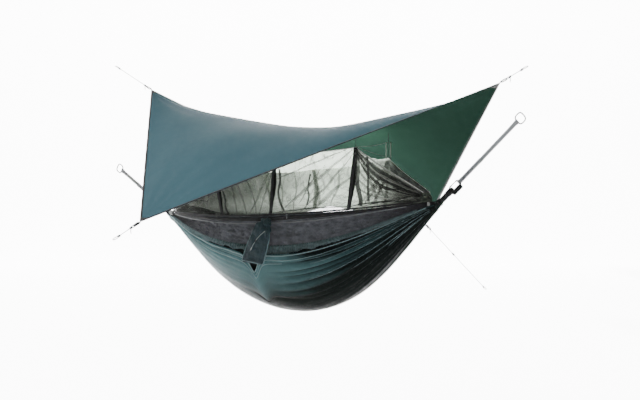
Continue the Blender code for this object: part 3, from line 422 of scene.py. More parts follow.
# Pale net: painted highlights on gathered net.
PALE_FOLD = fold_finish("pale_fold", (0.62, 0.65, 0.60), cover=0.60)
TIE_TAPE = fold_finish("tie_tape", (0.075, 0.080, 0.073), cover=0.70)
# Light teal strips: painted highlights on the crests of the outer layer's taut folds.
TAUT_FOLD_HIGHLIGHT = fold_finish("taut_fold_highlight", (0.30, 0.43, 0.45), cover=0.85)
STRAP_FOLD = fold_finish("strap_fold", (0.022, 0.023, 0.021), cover=1.8)
# Dark strips on the inside of the rear net: the rear straps' painted shadow against the net's glow.
REAR_STRAP = fold_finish("rear_strap", (0.17, 0.19, 0.16), cover=1.3)
ANODISED = hard_finish("anodised_black", (0.075, 0.078, 0.085), (0.030, 0.031, 0.034))
PLATED = hard_finish("plated_zip", (0.36, 0.37, 0.38), (0.20, 0.21, 0.22), roughness=0.3)
PLASTIC = hard_finish("black_plastic", (0.030, 0.030, 0.032), (0.018, 0.018, 0.020), roughness=0.42,
                      metallic=0.0)
DARK_THREAD = braid_finish("dark_thread", (0.05, 0.05, 0.055), (0.02, 0.02, 0.022))


# Numbers and routes
def held(value):
    """A number kept from 0 to 1."""
    return min(max(value, 0.0), 1.0)


def bell(value, centre, reach):
    """1 at the centre and less and less away from it."""
    return exp(-((value - centre) / reach) ** 2)


def shares(steps):
    """The shares from 0 to 1 in even steps."""
    return [i / steps for i in range(steps + 1)]


def power(value, exponent):
    """A power that keeps its sign."""
    return abs(value) ** exponent * (1 if value >= 0 else -1)


def ripple(x, y, z=0.0):
    """Smooth noise from -1 to 1."""
    return noise.noise(Vector((x, y, z)))


def flat(width, thickness):
    """A tape's section."""
    a = width / 2
    b = thickness / 2
    return [(-a, -b), (a, -b), (a, b), (-a, b)]


def round_bar(diameter, sides=8):
    """A cord's section."""
    turns = [2 * pi * k / sides for k in range(sides)]
    return [(cos(turn) * diameter / 2, sin(turn) * diameter / 2) for turn in turns]


def smooth_route(stops, steps):
    """Points on a smooth curve through the stops."""
    route = []
    for i in range(len(stops) - 1):
        before = stops[max(i - 1, 0)]
        start = stops[i]
        end = stops[i + 1]
        after = stops[min(i + 2, len(stops) - 1)]
        for j in range(steps):
            t = j / steps
            route.append(0.5 * (2 * start + (end - before) * t
                                + (2 * before - 5 * start + 4 * end - after) * t * t
                                + (3 * start - before - 3 * end + after) * t ** 3))
    route.append(stops[-1])
    return route


def straight(start, end, steps):
    """Points along a straight run."""
    return [start.lerp(end, share) for share in shares(steps)]


def ring_route(centre, along, across, length, width, points, squareness):
    """A closed route round a centre."""
    route = []
    for i in range(points):
        turn = 2 * pi * i / points
        a = power(cos(turn), 2 / squareness) * length / 2
        b = power(sin(turn), 2 / squareness) * width / 2
        route.append(centre + along * a + across * b)
    return route


def coil_route(start, along, across, length, radius, turns, steps=12):
    """A route wound round an axis."""
    side = along.cross(across).normalized()
    route = []
    for i, share in enumerate(shares(turns * steps)):
        turn = 2 * pi * i / steps
        place = start + along * (length * share)
        route.append(place + across * (cos(turn) * radius) + side * (sin(turn) * radius))
    return route


def route_length(route):
    """The length along a route."""
    return sum((b - a).length for a, b in zip(route, route[1:]))


def in_frame(route):
    """A route's places in the frame."""
    return [tuple(spot + MIDDLE) for spot in route]


# Shapes: points, faces and lays
def grid_faces(columns, rows):
    """The faces of a sheet of points."""
    faces = []
    for i in range(columns):
        for j in range(rows):
            here = i * (rows + 1) + j
            there = here + rows + 1
            faces.append([here, there, there + 1, here + 1])
    return faces


def strip_faces(steps):
    """The faces of a row of point pairs."""
    return [[2 * i, 2 * i + 2, 2 * i + 3, 2 * i + 1] for i in range(steps)]


def ribbon(stations, reach):
    """A strip from its middle points, the ways across it and its half widths; depth is 1 at both edges."""
    points = []
    lays = []
    steps = len(stations) - 1
    for share, (middle, way, half) in zip(shares(steps), stations):
        for side in (-1, 1):
            points.append(middle + way * (side * half))
            lays.append((side * half, share * reach, float(side)))
    return points, strip_faces(steps), lays


def loft(rows, sides, spot, girth, length):
    """A closed form through spot(share, turn), with its cloth's girth and length."""
    points = []
    lays = []
    for share in shares(rows):
        for k in range(sides):
            points.append(spot(share, 2 * pi * k / sides))
            lays.append((k / sides * girth, share * length, 0.0))
    return points, ring_faces(rows + 1, sides), lays


def ring_faces(rings, sides, closed=False):
    """The faces between rings of points, with both ends filled unless they meet."""
    faces = []
    for i in range(rings if closed else rings - 1):
        here = i * sides
        there = (i + 1) % rings * sides
        for k in range(sides):
            after = (k + 1) % sides
            faces.append([here + k, here + after, there + after, there + k])
    if not closed:
        faces.append(list(range(sides)))
        faces.append(list(range((rings - 1) * sides, rings * sides)))
    return faces


def sweep(route, section, across, closed=False):
    """A section carried along a route."""
    points = []
    lays = []
    count = len(route)
    sides = len(section)
    reach = 0.0
    widths = [a for a, _ in section]
    girth = max(widths) - min(widths)
    for i, place in enumerate(route):
        ahead = route[(i + 1) % count] if closed else route[min(i + 1, count - 1)]
        behind = route[i - 1] if closed else route[max(i - 1, 0)]
        run = (ahead - behind).normalized()
        normal = run.cross(across).normalized()
        wide = normal.cross(run)
        reach += (place - route[i - 1]).length if i else 0.0
        for k, (a, b) in enumerate(section):
            points.append(place + wide * a + normal * b)
            lays.append((k / sides if sides > 4 else a + girth, reach, 0.0))
    return points, ring_faces(count, sides, closed), lays


def joined(shapes):
    """Several shapes as one."""
    points = []
    faces = []
    lays = []
    for some_points, some_faces, some_lays in shapes:
        shift = len(points)
        points += some_points
        lays += some_lays
        faces += [[shift + corner for corner in face] for face in some_faces]
    return points, faces, lays


# Pieces
def mesh_object(name, points, faces, lays, materials):
    """An object with one mesh; `lays` are the cloth coordinates of its points."""
    mesh = bpy.data.meshes.new(name)
    mesh.from_pydata(points, [], faces)
    layer = mesh.attributes.new("lay", "FLOAT_VECTOR", "POINT")
    layer.data.foreach_set("vector", [part for lay in lays for part in lay])
    mesh.shade_smooth()
    for material in materials:
        mesh.materials.append(material)
    obj = bpy.data.objects.new(name, mesh)
    bpy.context.collection.objects.link(obj)
    return obj


def piece(name, shape, materials, body="hammock"):
    """A piece laid out from the hammock's middle; one with no body is left unattached."""
    points, faces, lays = shape
    obj = mesh_object(name, [point + MIDDLE for point in points], faces, lays, materials)
    if body:
        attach(obj, body)
    return obj


def solid(name, shape, material, body="hammock"):
    """A closed piece, its faces turned outwards."""
    obj = piece(name, shape, [material], body)
    form = bmesh.new()
    form.from_mesh(obj.data)
    bmesh.ops.recalc_face_normals(form, faces=form.faces)
    form.to_mesh(obj.data)
    form.free()
    return obj


def sheet(name, shape, materials, thickness, body="hammock"):
    """An open piece made as thick as its cloth, with the last finish on its second side."""
    obj = piece(name, shape, materials, body)
    thick = obj.modifiers.new("thickness", "SOLIDIFY")
    thick.thickness = thickness
    thick.offset = 0.0
    thick.material_offset = len(materials) - 1
    return obj


def cloth(name, place, columns, rows, cut, materials, thickness, body="hammock", depth=None):
    """A sheet through place(a, b) for a and b from 0 to 1, of a cut size."""
    pairs = [(a, b) for a in shares(columns) for b in shares(rows)]
    points = [place(a, b) for a, b in pairs]
    lays = [(a * cut[0], b * cut[1], depth(a, b) if depth else 0.0) for a, b in pairs]
    return sheet(name, (points, grid_faces(columns, rows), lays), materials, thickness, body)


# The hull's own curve
def line_height(x):
    """The end-to-end line's height."""
    return x * FOOT_RISE / SPAN


def half_width(x):
    """Half the hull's width at its rim."""
    share = min(abs(x) / (SPAN / 2), 1.0)
    return GATHER_HALF_WIDTH + (RIM_HALF_WIDTH - GATHER_HALF_WIDTH) * (1 - share ** RIM_POWER)


def rim_height(x):
    """The rim's height."""
    return line_height(x) - RIM_SAG * (1 - (2 * x / SPAN) ** 2)


def hull_depth(x):
    """The hull's depth under its rim."""
    reach = SPAN / 2 - LOWEST_PLACE if x > LOWEST_PLACE else SPAN / 2 + LOWEST_PLACE
    square = ((x - LOWEST_PLACE) / reach) ** 2
    straight_share = RIGHT_STRAIGHT_SHARE if x > LOWEST_PLACE else LEFT_STRAIGHT_SHARE
    rise_share = square + straight_share * square * square * (1 - square)
    bottom = line_height(x) - GATHER_DEPTH - (HULL_DEPTH - GATHER_DEPTH) * (1 - rise_share)
    return rim_height(x) - bottom


def drop_share(drop):
    """How far round the hull a drop below the rim lies."""
    return asin(min(drop / hull_depth(0.0), 0.95)) / pi


def hull_point(x, turn_share, outward=0.0):
    """A point of the hull: 0 is the front rim, a half the bottom and 1 the rear rim."""
    turn = pi * turn_share
    side = (half_width(x) + outward) * cos(turn)
    return Vector((x, -side, rim_height(x) - (hull_depth(x) + outward) * sin(turn)))


def outward_way(spot, x):
    """The way out of the hull at a spot."""
    return Vector((0.0, spot.y, spot.z - rim_height(x))).normalized()


def mirrored(spot):
    """The same place on the other side."""
    return Vector((spot.x, -spot.y, spot.z))


def end_share(x):
    """0 in the middle of the hammock and 1 at its gathers."""
    return min(abs(2 * x / SPAN), 1.0)


# Hull cloth
CLOTH = 0.0007
SLEEPING_CUT = (2.55, 1.75)
SLEEPING_INSET = 0.004
PANEL_CUT = (2.45, 0.21)
SEAM_SHARE = drop_share(PANEL_DROP)
PULL_FOLD = 0.013
LONG_FOLD = 0.006
PANEL_CREASE_SIZE = 0.050
PANEL_CREASE = 0.0050
PANEL_FOLD = 0.014
PANEL_PUCKER = 0.0035


def tension(x, turn_share):
    """Folds that run from the gathers into the hull and die out towards its middle."""
    near = end_share(x)
    spread = turn_share * 15 + 1.3 * ripple(turn_share * 7, 0.4 * near, 1.0)
    fold = 1 - 2 * abs(sin(pi * spread)) ** 0.7
    uneven = 0.6 + 0.8 * abs(ripple(turn_share * 9, 0.0, 6.0))
    pull = PULL_FOLD * near ** 2.2 * (1 - near ** 10) * fold * uneven
    return pull + LONG_FOLD * ripple(x * 1.6, turn_share * 13, 4.0) * (1 - near ** 6)


def crumple(x, turn_share):
    """Small creases in no direction."""
    coarse = ripple(x / PANEL_CREASE_SIZE, turn_share * 1.6 / PANEL_CREASE_SIZE, 7.0)
    fine = ripple(x * 2.3 / PANEL_CREASE_SIZE, turn_share * 3.7 / PANEL_CREASE_SIZE, 2.0)
    return PANEL_CREASE * (coarse + 0.5 * fine)


def sleeping_point(a, b):
    """The sleeping layer, from seam to seam under the sleeper."""
    x = (a - 0.5) * SPAN
    turn_share = SEAM_SHARE + b * (1 - 2 * SEAM_SHARE)
    return hull_point(x, turn_share, (tension(x, turn_share) - SLEEPING_INSET) * held(min(b, 1 - b) * 6))


def panel_point(a, b):
    """Share b down the front panel."""
    x = (a - 0.5) * SPAN
    turn_share = b * SEAM_SHARE
    ease = held((b - 0.12) * 5) * held((1 - b) * 8)
    pucker = PANEL_PUCKER * sin(x * 92 + 3.0 * ripple(x * 9, b * 2)) * bell(b, 1.0, 0.25)
    slant = abs(ripple(x * 11 + b * 5, x * 4 - b * 9, 3.0))
    cross = abs(ripple(x * 8 - b * 7, x * 5 + b * 6, 8.0))
    sharp = (1 - held(slant * 3)) ** 2 + 0.7 * (1 - held(cross * 3.5)) ** 2
    inward = crumple(x, turn_share) - PANEL_FOLD * sharp + pucker
    return hull_point(x, turn_share, inward * ease * (1 - end_share(x) ** 8))


def panel_shade(a, b):
    """How dark the panel is: in shadow near both gathers, and under the rim."""
    ends = held(1 - a / 0.33) ** 0.5 + held((a - 0.78) / 0.22) ** 1.2
    return held(ends + 0.35 * exp(-b / 0.12))


def make_hull():
    """The sleeping layer and its two side panels."""
    layer = cloth("sleeping_layer", sleeping_point, 180, 96, SLEEPING_CUT, [DARK], CLOTH)
    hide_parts("inner_layer")
    front = cloth("front_panel", panel_point, 260, 24, PANEL_CUT, [PANEL], CLOTH,
                  depth=panel_shade)
    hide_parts("side_panel_front")
    rear = cloth("rear_panel", lambda a, b: mirrored(panel_point(a, b)), 200, 16, PANEL_CUT, [PANEL],
                 CLOTH)
    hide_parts("side_panel_rear")


# Outer layer
OUTER_CUT = (2.55, 1.2)
DIP_LEFT_REACH = 0.50
DIP_RIGHT_REACH = 0.070
LEFT_RIDGE = 0.0085
LEFT_RIDGE_PITCH = 0.030
LEFT_RIDGE_REACH = 0.10
RIGHT_RIDGE = 0.030
RIGHT_RIDGE_PITCH = 0.042
RIGHT_RIDGE_REACH = 0.20
RIGHT_RIDGE_START = 0.02
LOW_RIDGE = 0.010
LOW_RIDGE_SHARE = 0.25
LOW_RIDGE_SLOPE = 0.05
LOW_RIDGE_WIDTH = 0.012
LOW_RIDGE_PLACE = 0.12
LOW_RIDGE_REACH = 0.30
MIDDLE_RIDGE = 0.005
MIDDLE_RIDGE_PLACE = 0.05
MIDDLE_RIDGE_REACH = 0.35
OUTER_STANDOFF = 0.006
LEAST_STANDOFF = 0.004
HEM_ROLL = 0.006
# Painted shade on the outer layer: the fold depth at which it is full, and where it lies under the frill
DARK_RIDGE = 0.020
FRILL_SHADE_PLACE = 0.50
FRILL_SHADE_REACH = 0.26
HEM_LINES = (0.006, 0.024, 0.043)
HEM_LINE_WIDTHS = (0.007, 0.0035, 0.0035)
HEM_LINE = 0.0012
HEM_LINE_STANDOFF = 0.0016
HEM_LINE_START = 0.02
TAUT_STANDOFF = 0.0045
TAUT_WANDER = 0.004
TAUT_STEP = 0.02
STRIP = 0.0005

# Painted highlights on the taut folds of the outer layer: girth share, the x where each starts and ends, its
# width
TAUT_FOLDS = ((0.035, 0.62, 1.165, 0.013), (0.058, 0.40, 1.170, 0.011), (0.085, 0.30, 1.172, 0.014),
              (0.112, 0.42, 1.172, 0.009), (0.140, 0.34, 1.174, 0.010), (0.175, 0.66, 1.174, 0.008),
              (0.215, 0.90, 1.120, 0.012), (0.030, -1.16, -0.30, 0.010), (0.052, -1.16, -0.42, 0.008))


def hem_share(x):
    """How far round the hull the outer layer's front hem lies: it sags below the sack."""
    away = x - HEM_DIP_PLACE
    dip = held(1 + away / DIP_LEFT_REACH) ** 12.0 if away < 0 else bell(away, 0.0, DIP_RIGHT_REACH)
    return drop_share(HEM_DROP + HEM_DIP * dip)


def outer_ridges(x, b):
    """Folds that tension pulls out of both gathers and along the front hem."""
    left = LEFT_RIDGE * sin(2 * pi * b / LEFT_RIDGE_PITCH) * bell(b, 0.0, LEFT_RIDGE_REACH) * held(-x * 2)
    spread = b / RIGHT_RIDGE_PITCH + 1.2 * ripple(b * 20, x * 0.5, 8.0)
    right = RIGHT_RIDGE * sin(2 * pi * spread) * bell(b, 0.0, RIGHT_RIDGE_REACH)
    right *= held((x - RIGHT_RIDGE_START) * 1.7)
    low = -LOW_RIDGE * bell(b - LOW_RIDGE_SHARE - LOW_RIDGE_SLOPE * x, 0.0, LOW_RIDGE_WIDTH)
    low *= bell(x, LOW_RIDGE_PLACE, LOW_RIDGE_REACH)
    middle = MIDDLE_RIDGE * ripple(x * 6, b * 26, 9.0) * bell(x, MIDDLE_RIDGE_PLACE, MIDDLE_RIDGE_REACH)
    return (left + right + low + middle * exp(-b / 0.3)) * (1 - end_share(x) ** 8)


def slack_point(x, b):
    """A point of the outer layer, from its front hem at 0 to its rear hem at 1."""
    front = hem_share(x)
    turn_share = front + b * (1 - drop_share(HEM_DROP) - front)
    slack = HEM_SLACK * bell(x, SLACK_PLACE, SLACK_REACH) * held(1 - 2 * b) ** 1.5
    roll = HEM_ROLL * ripple(x * 7, 3.0) * exp(-b / 0.05)
    reach = LAYER_GAP + OUTER_STANDOFF + slack + roll + outer_ridges(x, b) + tension(x, turn_share) * 0.8
    return hull_point(x, turn_share, max(reach, LEAST_STANDOFF))


def hull_shade(a, b):
    """Painted shade on the outer layer: darker below, towards the right gather, down in its folds and under
    the frill.
    """
    x = (a - 0.5) * SPAN
    middle = held((a - 0.20) / 0.30)
    down = held((b - 0.02) / (0.30 - 0.08 * middle)) ** 1.4 * (0.55 + 0.45 * middle)
    right = max(2.6 * a - 1.62, 0.0) * min(0.45 + b / 0.06, 1.0)
    fold = max(-outer_ridges(x, b) / DARK_RIDGE, 0.0)
    under_frill = bell(b, 0.012, 0.022) * bell(x, FRILL_SHADE_PLACE, FRILL_SHADE_REACH)
    return min(down + right + 0.9 * fold + under_frill, 1.0) * 0.97


def make_outer_layer():
    """The second skin with its bound hem and sewn lines."""
    layer = cloth("outer_layer_cloth", lambda a, b: slack_point((a - 0.5) * SPAN, b), 240, 130, OUTER_CUT,
                  [TEAL], CLOTH, depth=hull_shade)
    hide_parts("outer_layer")
    for number, (b, width) in enumerate(zip(HEM_LINES, HEM_LINE_WIDTHS), 1):
        route = []
        for share in shares(150):
            x = SPAN * (HEM_LINE_START + (1 - 2 * HEM_LINE_START) * share - 0.5)
            spot = slack_point(x, b)
            route.append(spot + outward_way(spot, x) * HEM_LINE_STANDOFF)
        solid("hem_line_" + str(number), sweep(route, flat(width, HEM_LINE), UP), PALE_SEAM)


def make_taut_fold_highlights():
    """Thin strips on the crests that the pull of the gathers raises on the outer layer, lighter as painted
    highlights.
    """
    shapes = []
    for b, start_x, end_x, width in TAUT_FOLDS:
        stations = []
        for share in shares(40):
            x = start_x + (end_x - start_x) * share
            centre = slack_point(x, b + TAUT_WANDER * ripple(x * 3, b * 30))
            down = (slack_point(x, b + TAUT_STEP) - centre).normalized()
            crest = centre + outward_way(centre, x) * TAUT_STANDOFF
            stations.append((crest, down, width / 2 * (0.3 + 0.7 * sin(pi * share))))
        shapes.append(ribbon(stations, 1.0))
    sheet("taut_fold_highlights", joined(shapes), [TAUT_FOLD_HIGHLIGHT], STRIP)


# Rim and zip
RIM_LENGTH = 2.24
RIM_CUT = (2.3, BAND_WIDTH)
RIM_TAPE = 0.0014
BAND_STANDOFF = 0.0026
BAND_WAVE = 0.0006
FRILL_LENGTH = 2.2
FRILL_CUT = (2.3, 0.060)
FRILL_PITCH = 0.021
FRILL_PITCH_SPREAD = 0.006
FRILL_WAVE = 0.0060
FRILL_ROLL = 0.006
FRILL_START = 0.004
FRILL_STANDOFF = 0.012
FRILL_DROP = 0.030
FRILL_DEEP_PLACE = 0.12
FRILL_DEEP_REACH = 0.28
FRILL_UNEVEN = 0.013
FRILL_RISE = 0.006
ZIP_LENGTH = 2.14
ZIP_COIL = 0.0020
SLIT = 0.0026


def band_point(a, b):
    """The band in front."""
    x = RIM_LENGTH * (a - 0.5)
    high = drop_share(BAND_TOP)
    turn_share = high + b * (drop_share(BAND_TOP + BAND_WIDTH) - high)
    return hull_point(x, turn_share, BAND_STANDOFF + BAND_WAVE * ripple(x * 26, b))


def frill_point(a, b):
    """A strip of panel cloth that stands out of the seam in ruffles."""
    x = FRILL_LENGTH * (a - 0.5)
    ease = 1 - end_share(x) ** 6
    pitch = FRILL_PITCH + FRILL_PITCH_SPREAD * ripple(x * 3, 5.0)
    height = FRILL_WAVE * (0.6 + 0.9 * abs(ripple(x * 17, 4.0))) * 1.5
    wave = height * sin(x * 2 * pi / pitch + 3 * ripple(x * 9, b * 2.5)) * (0.35 + 0.65 * b)
    roll = FRILL_ROLL * ripple(x * 14, b * 3, 2.0)
    spot = hull_point(x, SEAM_SHARE, FRILL_START + (FRILL_STANDOFF * sin(pi * b * 0.8) + wave + roll) * ease)
    deep = 1 + bell(x, FRILL_DEEP_PLACE, FRILL_DEEP_REACH)
    drop = FRILL_DROP * deep + FRILL_UNEVEN * ripple(x * 13, 6.0)
    return spot + UP * ((wave * 0.6 + FRILL_RISE - drop * b) * ease)


def make_rim():
    """The band, the rear rim's tape and the ruffled seam under the panel."""
    front = cloth("rim_band_tape", band_point, 200, 3, RIM_CUT, [BLACK_TAPE], RIM_TAPE)
    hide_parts("rim_band")
    cloth("rear_rim_tape", lambda a, b: mirrored(band_point(a, b)), 160, 2, RIM_CUT, [BLACK_TAPE],
          RIM_TAPE)
    cloth("seam_frill", frill_point, 560, 10, FRILL_CUT, [FRILL], CLOTH)


def make_zip():
    """The zip's coil in its slit."""
    route = [hull_point(ZIP_LENGTH * (share - 0.5), 0.0) + UP * (SLIT / 2) for share in shares(150)]
    solid("zip_coil", sweep(route, round_bar(ZIP_COIL), UP), DARK_THREAD)


# Net canopy, counted q from the left gather at 0 to the right at 4
NET = 0.0004
SIDE_FOLD = 0.009
SIDE_RIPPLE = 0.006
GATHERED_FOLD = 0.010
EDGE_SAG = 0.020
ROOF_FOLD = 0.006
REAR_NET_START = 0.001
NET_TAPE_WIDTH = 0.007
NET_TAPE = 0.0010
NET_TAPE_STANDOFF = 0.0016


def top_stops(places, heights, side):
    """The net's top corners on one side."""
    stops = [Vector((x, side * NET_TOP_HALF_WIDTH, z)) for x, z in zip(places, heights)]
    ends = [Vector((x, side * NET_END_HALF_WIDTH, line_height(x) + NET_END_HEIGHT))
            for x in (-NET_END_PLACE, NET_END_PLACE)]
    return [ends[0]] + stops + [ends[1]]


FRONT_TOP = top_stops(FRONT_TOP_PLACES, FRONT_TOP_HEIGHTS, -1)
REAR_TOP = top_stops(REAR_TOP_PLACES, REAR_TOP_HEIGHTS, 1)
FRONT_STOPS = [-NET_END_PLACE, *FRONT_RIM_PLACES, NET_END_PLACE]
REAR_STOPS = [-NET_END_PLACE, *REAR_RIM_PLACES, NET_END_PLACE]


def along_stops(stops, q):
    """The value q stations along a list."""
    i = min(int(q), len(stops) - 2)
    return stops[i] + (stops[i + 1] - stops[i]) * (q - i)


def net_low(side, q):
    """The net's lower edge."""
    x = along_stops(FRONT_STOPS if side < 0 else REAR_STOPS, q)
    lift = NET_START
    if side > 0:
        lift = REAR_NET_START + REAR_HEM_LIFT * bell(x, REAR_HEM_PLACE, REAR_HEM_REACH)
    return Vector((x, side * half_width(x), rim_height(x) + lift))


def edge_sag(q):
    """How far the net's top edge hangs between its stations."""
    return EDGE_SAG * sin(pi * (q - int(min(q, 3.999)))) * (1 - abs(q / 2 - 1) ** 2)


def net_side(side, q, b):
    """A point of the front or rear net with its folds."""
    top = along_stops(FRONT_TOP if side < 0 else REAR_TOP, q)
    folds = SIDE_FOLD * sin(2 * pi * (3 * q + 0.6 * b)) + SIDE_RIPPLE * ripple(q * 5, b * 3, side)
    gathered = GATHERED_FOLD * sin(2 * pi * 9 * b) * abs(q / 2 - 1) ** 4
    bulge = (folds + gathered) * sin(pi * b)
    return net_low(side, q).lerp(top, b) + REARWARD * bulge - UP * (edge_sag(q) * b)


def net_cover(q, b):
    """A point of the roof and its sloping ends."""
    sag = ROOF_SAG * 4 * b * (1 - b) * min(q, 4 - q, 1.0)
    folds = ROOF_FOLD * sin(2 * pi * 5 * b + q) * abs(q / 2 - 1) * sin(pi * b)
    level = along_stops(FRONT_TOP, q).lerp(along_stops(REAR_TOP, q), b)
    return level - UP * (sag + edge_sag(q) - folds)


def front_shade(a, b):
    """How thick the front net's gathered folds lie, most at the two ends and along the rim; it darkens there
    as painted shade.
    """
    left = held((0.46 - a) / 0.46) ** 0.9
    right = held((a - 0.74) / 0.26) ** 1.2
    low = 0.42 * exp(-b / 0.10) + 0.20 * exp(-b / 0.35) * (1 - a)
    return held(left + right + low)


def rear_shade(a, b):
    """Painted shade on the rear net, which also fades its glow: none between its outer straps, most over the
    slopes and more towards the top.
    """
    slopes = held((a - 0.72) / 0.10) + 0.80 * held((0.54 - a) / 0.30)
    return held(slopes + 0.30 * held((b - 0.35) / 0.40))


def roof_shade(a, b):
    """Over the roof the net thins on its slopes, which start at the outer straps, and there it darkens as
    painted shade and loses its glow.
    """
    return held((a - 0.728) / 0.035) + held((0.25 - a) / 0.12)


# Each net's columns and rows, cut size, finish, shade, flat size and area
NETS = (("front", 240, 40, (2.3, 0.45), FRONT_NET, front_shade, (2.35, 0.46), 0.80),
        ("rear", 200, 32, (2.3, 0.35), REAR_NET, rear_shade, (2.35, 0.40), 0.60),
        ("roof", 200, 36, (2.6, 0.62), ROOF_NET, roof_shade, (2.60, 0.63), 1.15))


def make_net():
    """Front, rear and roof, and the narrow tape along their edges."""
    places = {"front": lambda a, b: net_side(-1, 4 * a, b), "rear": lambda a, b: net_side(1, 4 * a, b),
              "roof": lambda a, b: net_cover(4 * a, b)}
    for name, columns, rows, cut, finish, shade, flat_size, area in NETS:
        net = cloth("net_" + name + "_cloth", places[name], columns, rows, cut, [finish], NET,
                    depth=shade)
        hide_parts("net_" + name)
    for name, side, b, finish in (("front_top", -1, 1.0, PALE_TAPE), ("rear_top", 1, 1.0, PALE_TAPE),
                                  ("front_low", -1, 0.0, BLACK_TAPE), ("rear_low", 1, 0.0, BLACK_TAPE)):
        away = REARWARD * (side * NET_TAPE_STANDOFF)
        route = [net_side(side, 4 * share, b) + away for share in shares(160)]
        solid("net_tape_" + name, sweep(route, flat(NET_TAPE_WIDTH, NET_TAPE), UP), finish)


# Folds in the net: station and height where each starts and ends, how far it bows, its width
FRONT_FOLDS = ((2.96, 0.97, 2.20, 0.10, -0.05, 0.033), (2.98, 0.92, 2.42, 0.02, 0.06, 0.022),
               (2.90, 0.99, 2.05, 0.55, 0.05, 0.019), (2.55, 0.62, 2.38, 0.16, 0.02, 0.019),
               (2.97, 0.52, 2.60, 0.06, -0.10, 0.039), (2.60, 0.06, 2.10, 0.03, -0.03, 0.039),
               (3.02, 0.98, 3.42, 0.03, 0.06, 0.030), (3.03, 0.92, 3.20, 0.02, -0.05, 0.027),
               (3.38, 0.80, 3.22, 0.05, 0.05, 0.030), (3.02, 0.99, 3.62, 0.06, 0.04, 0.027),
               (3.50, 0.86, 3.34, 0.06, 0.0, 0.022), (3.01, 0.75, 3.95, 0.35, -0.14, 0.030),
               (3.01, 0.60, 3.95, 0.25, -0.12, 0.022), (3.02, 0.42, 3.96, 0.20, -0.10, 0.027),
               (1.06, 0.98, 1.32, 0.03, 0.06, 0.030), (1.16, 0.98, 1.52, 0.02, 0.05, 0.033),
               (1.30, 0.99, 1.72, 0.03, 0.06, 0.022), (1.98, 0.90, 1.60, 0.03, 0.05, 0.030),
               (1.97, 0.80, 1.78, 0.02, 0.04, 0.022), (0.98, 0.96, 0.70, 0.03, 0.05, 0.030),
               (0.96, 0.80, 0.52, 0.05, 0.04, 0.030), (0.94, 0.60, 0.30, 0.10, 0.04, 0.033),
               (0.98, 0.90, 0.10, 0.40, -0.05, 0.030), (0.98, 0.70, 0.10, 0.20, -0.04, 0.027))
# Painted shade: nearly black folds where the net gathers at its ends and along the rim.
FRONT_DARK_FOLDS = ((3.00, 0.97, 3.96, 0.80, -0.05, 0.050), (3.00, 0.95, 3.97, 0.66, -0.13, 0.040),
                    (3.01, 0.91, 3.97, 0.52, -0.18, 0.030), (2.02, 0.02, 3.00, 0.04, 0.03, 0.010),
                    (3.00, 0.03, 3.92, 0.10, 0.05, 0.014), (3.20, 0.02, 3.96, 0.30, -0.02, 0.010),
                    (3.45, 0.05, 3.97, 0.45, -0.03, 0.008), (0.08, 0.30, 1.00, 0.03, -0.02, 0.012),
                    (0.05, 0.60, 0.92, 0.06, -0.06, 0.012), (0.05, 0.80, 0.80, 0.30, -0.06, 0.010),
                    (0.10, 0.12, 0.90, 0.02, 0.02, 0.040), (0.10, 0.22, 0.70, 0.10, 0.02, 0.040),
                    (0.15, 0.35, 0.62, 0.16, 0.02, 0.034), (0.12, 0.05, 0.80, 0.10, 0.02, 0.044))
# Painted highlights: pale folds along the right slope's top edge and across it.
FRONT_PALE_FOLDS = ((3.00, 1.00, 3.97, 0.97, 0.0, 0.016), (3.01, 0.96, 3.97, 0.74, -0.10, 0.010),
                    (3.60, 0.08, 3.97, 0.36, -0.02, 0.005), (3.05, 0.10, 3.90, 0.22, 0.04, 0.005))
STRAP_FOLDS = ((1.00, 0.98, 1.00, 0.02, 0.03, 0.024), (2.00, 0.98, 2.00, 0.02, 0.02, 0.030),
               (3.00, 0.98, 3.00, 0.02, 0.02, 0.036))
# Painted shadow of the rear straps on the rear net.
REAR_STRAP_FOLDS = ((1.00, 0.98, 1.00, 0.02, 0.02, 0.030), (2.00, 0.98, 2.00, 0.02, 0.03, 0.040),
                    (3.00, 0.98, 3.00, 0.02, 0.02, 0.036))
REAR_FOLDS = ((2.00, 0.98, 2.06, 0.05, 0.03, 0.053), (2.08, 0.98, 1.96, 0.04, -0.03, 0.033),
              (2.35, 0.96, 2.22, 0.06, 0.04, 0.027), (2.98, 0.97, 2.60, 0.10, 0.08, 0.039),
              (2.98, 0.90, 2.84, 0.08, 0.03, 0.046), (1.62, 0.96, 1.50, 0.05, 0.04, 0.030),
              (1.30, 0.95, 1.24, 0.05, 0.03, 0.030), (3.02, 0.97, 3.30, 0.06, 0.06, 0.039),
              (3.02, 0.90, 3.95, 0.40, -0.05, 0.033))
FOLD_STANDOFF = 0.0016
PALE_STANDOFF = 0.0028
STRAP_STANDOFF = 0.0038


def make_folds(name, net, standoff, folds, material, narrowest=0.35):
    """Gathered folds that lie in front of a net and narrow towards their ends."""
    def place(q, b):
        """Just in front of the net."""
        return net_side(net, q, b) - REARWARD * standoff

    shapes = []
    for start_q, start_b, end_q, end_b, bow, width in folds:
        run = place(end_q, end_b) - place(start_q, start_b)
        across = run.cross(REARWARD).normalized()
        stations = []
        for share in shares(24):
            shift = bow * sin(pi * share) + 0.012 * ripple(share * 3, start_q * 7, end_b)
            q = start_q + (end_q - start_q) * share + shift * abs(end_b - start_b)
            b = start_b + (end_b - start_b) * share + shift * min(abs(end_q - start_q), 1.0)
            half = width / 2 * (narrowest + (1 - narrowest) * sin(pi * share))
            stations.append((place(q, min(max(b, 0.01), 0.99)), across, half))
        shapes.append(ribbon(stations, run.length))
    sheet(name, joined(shapes), [material], STRIP)


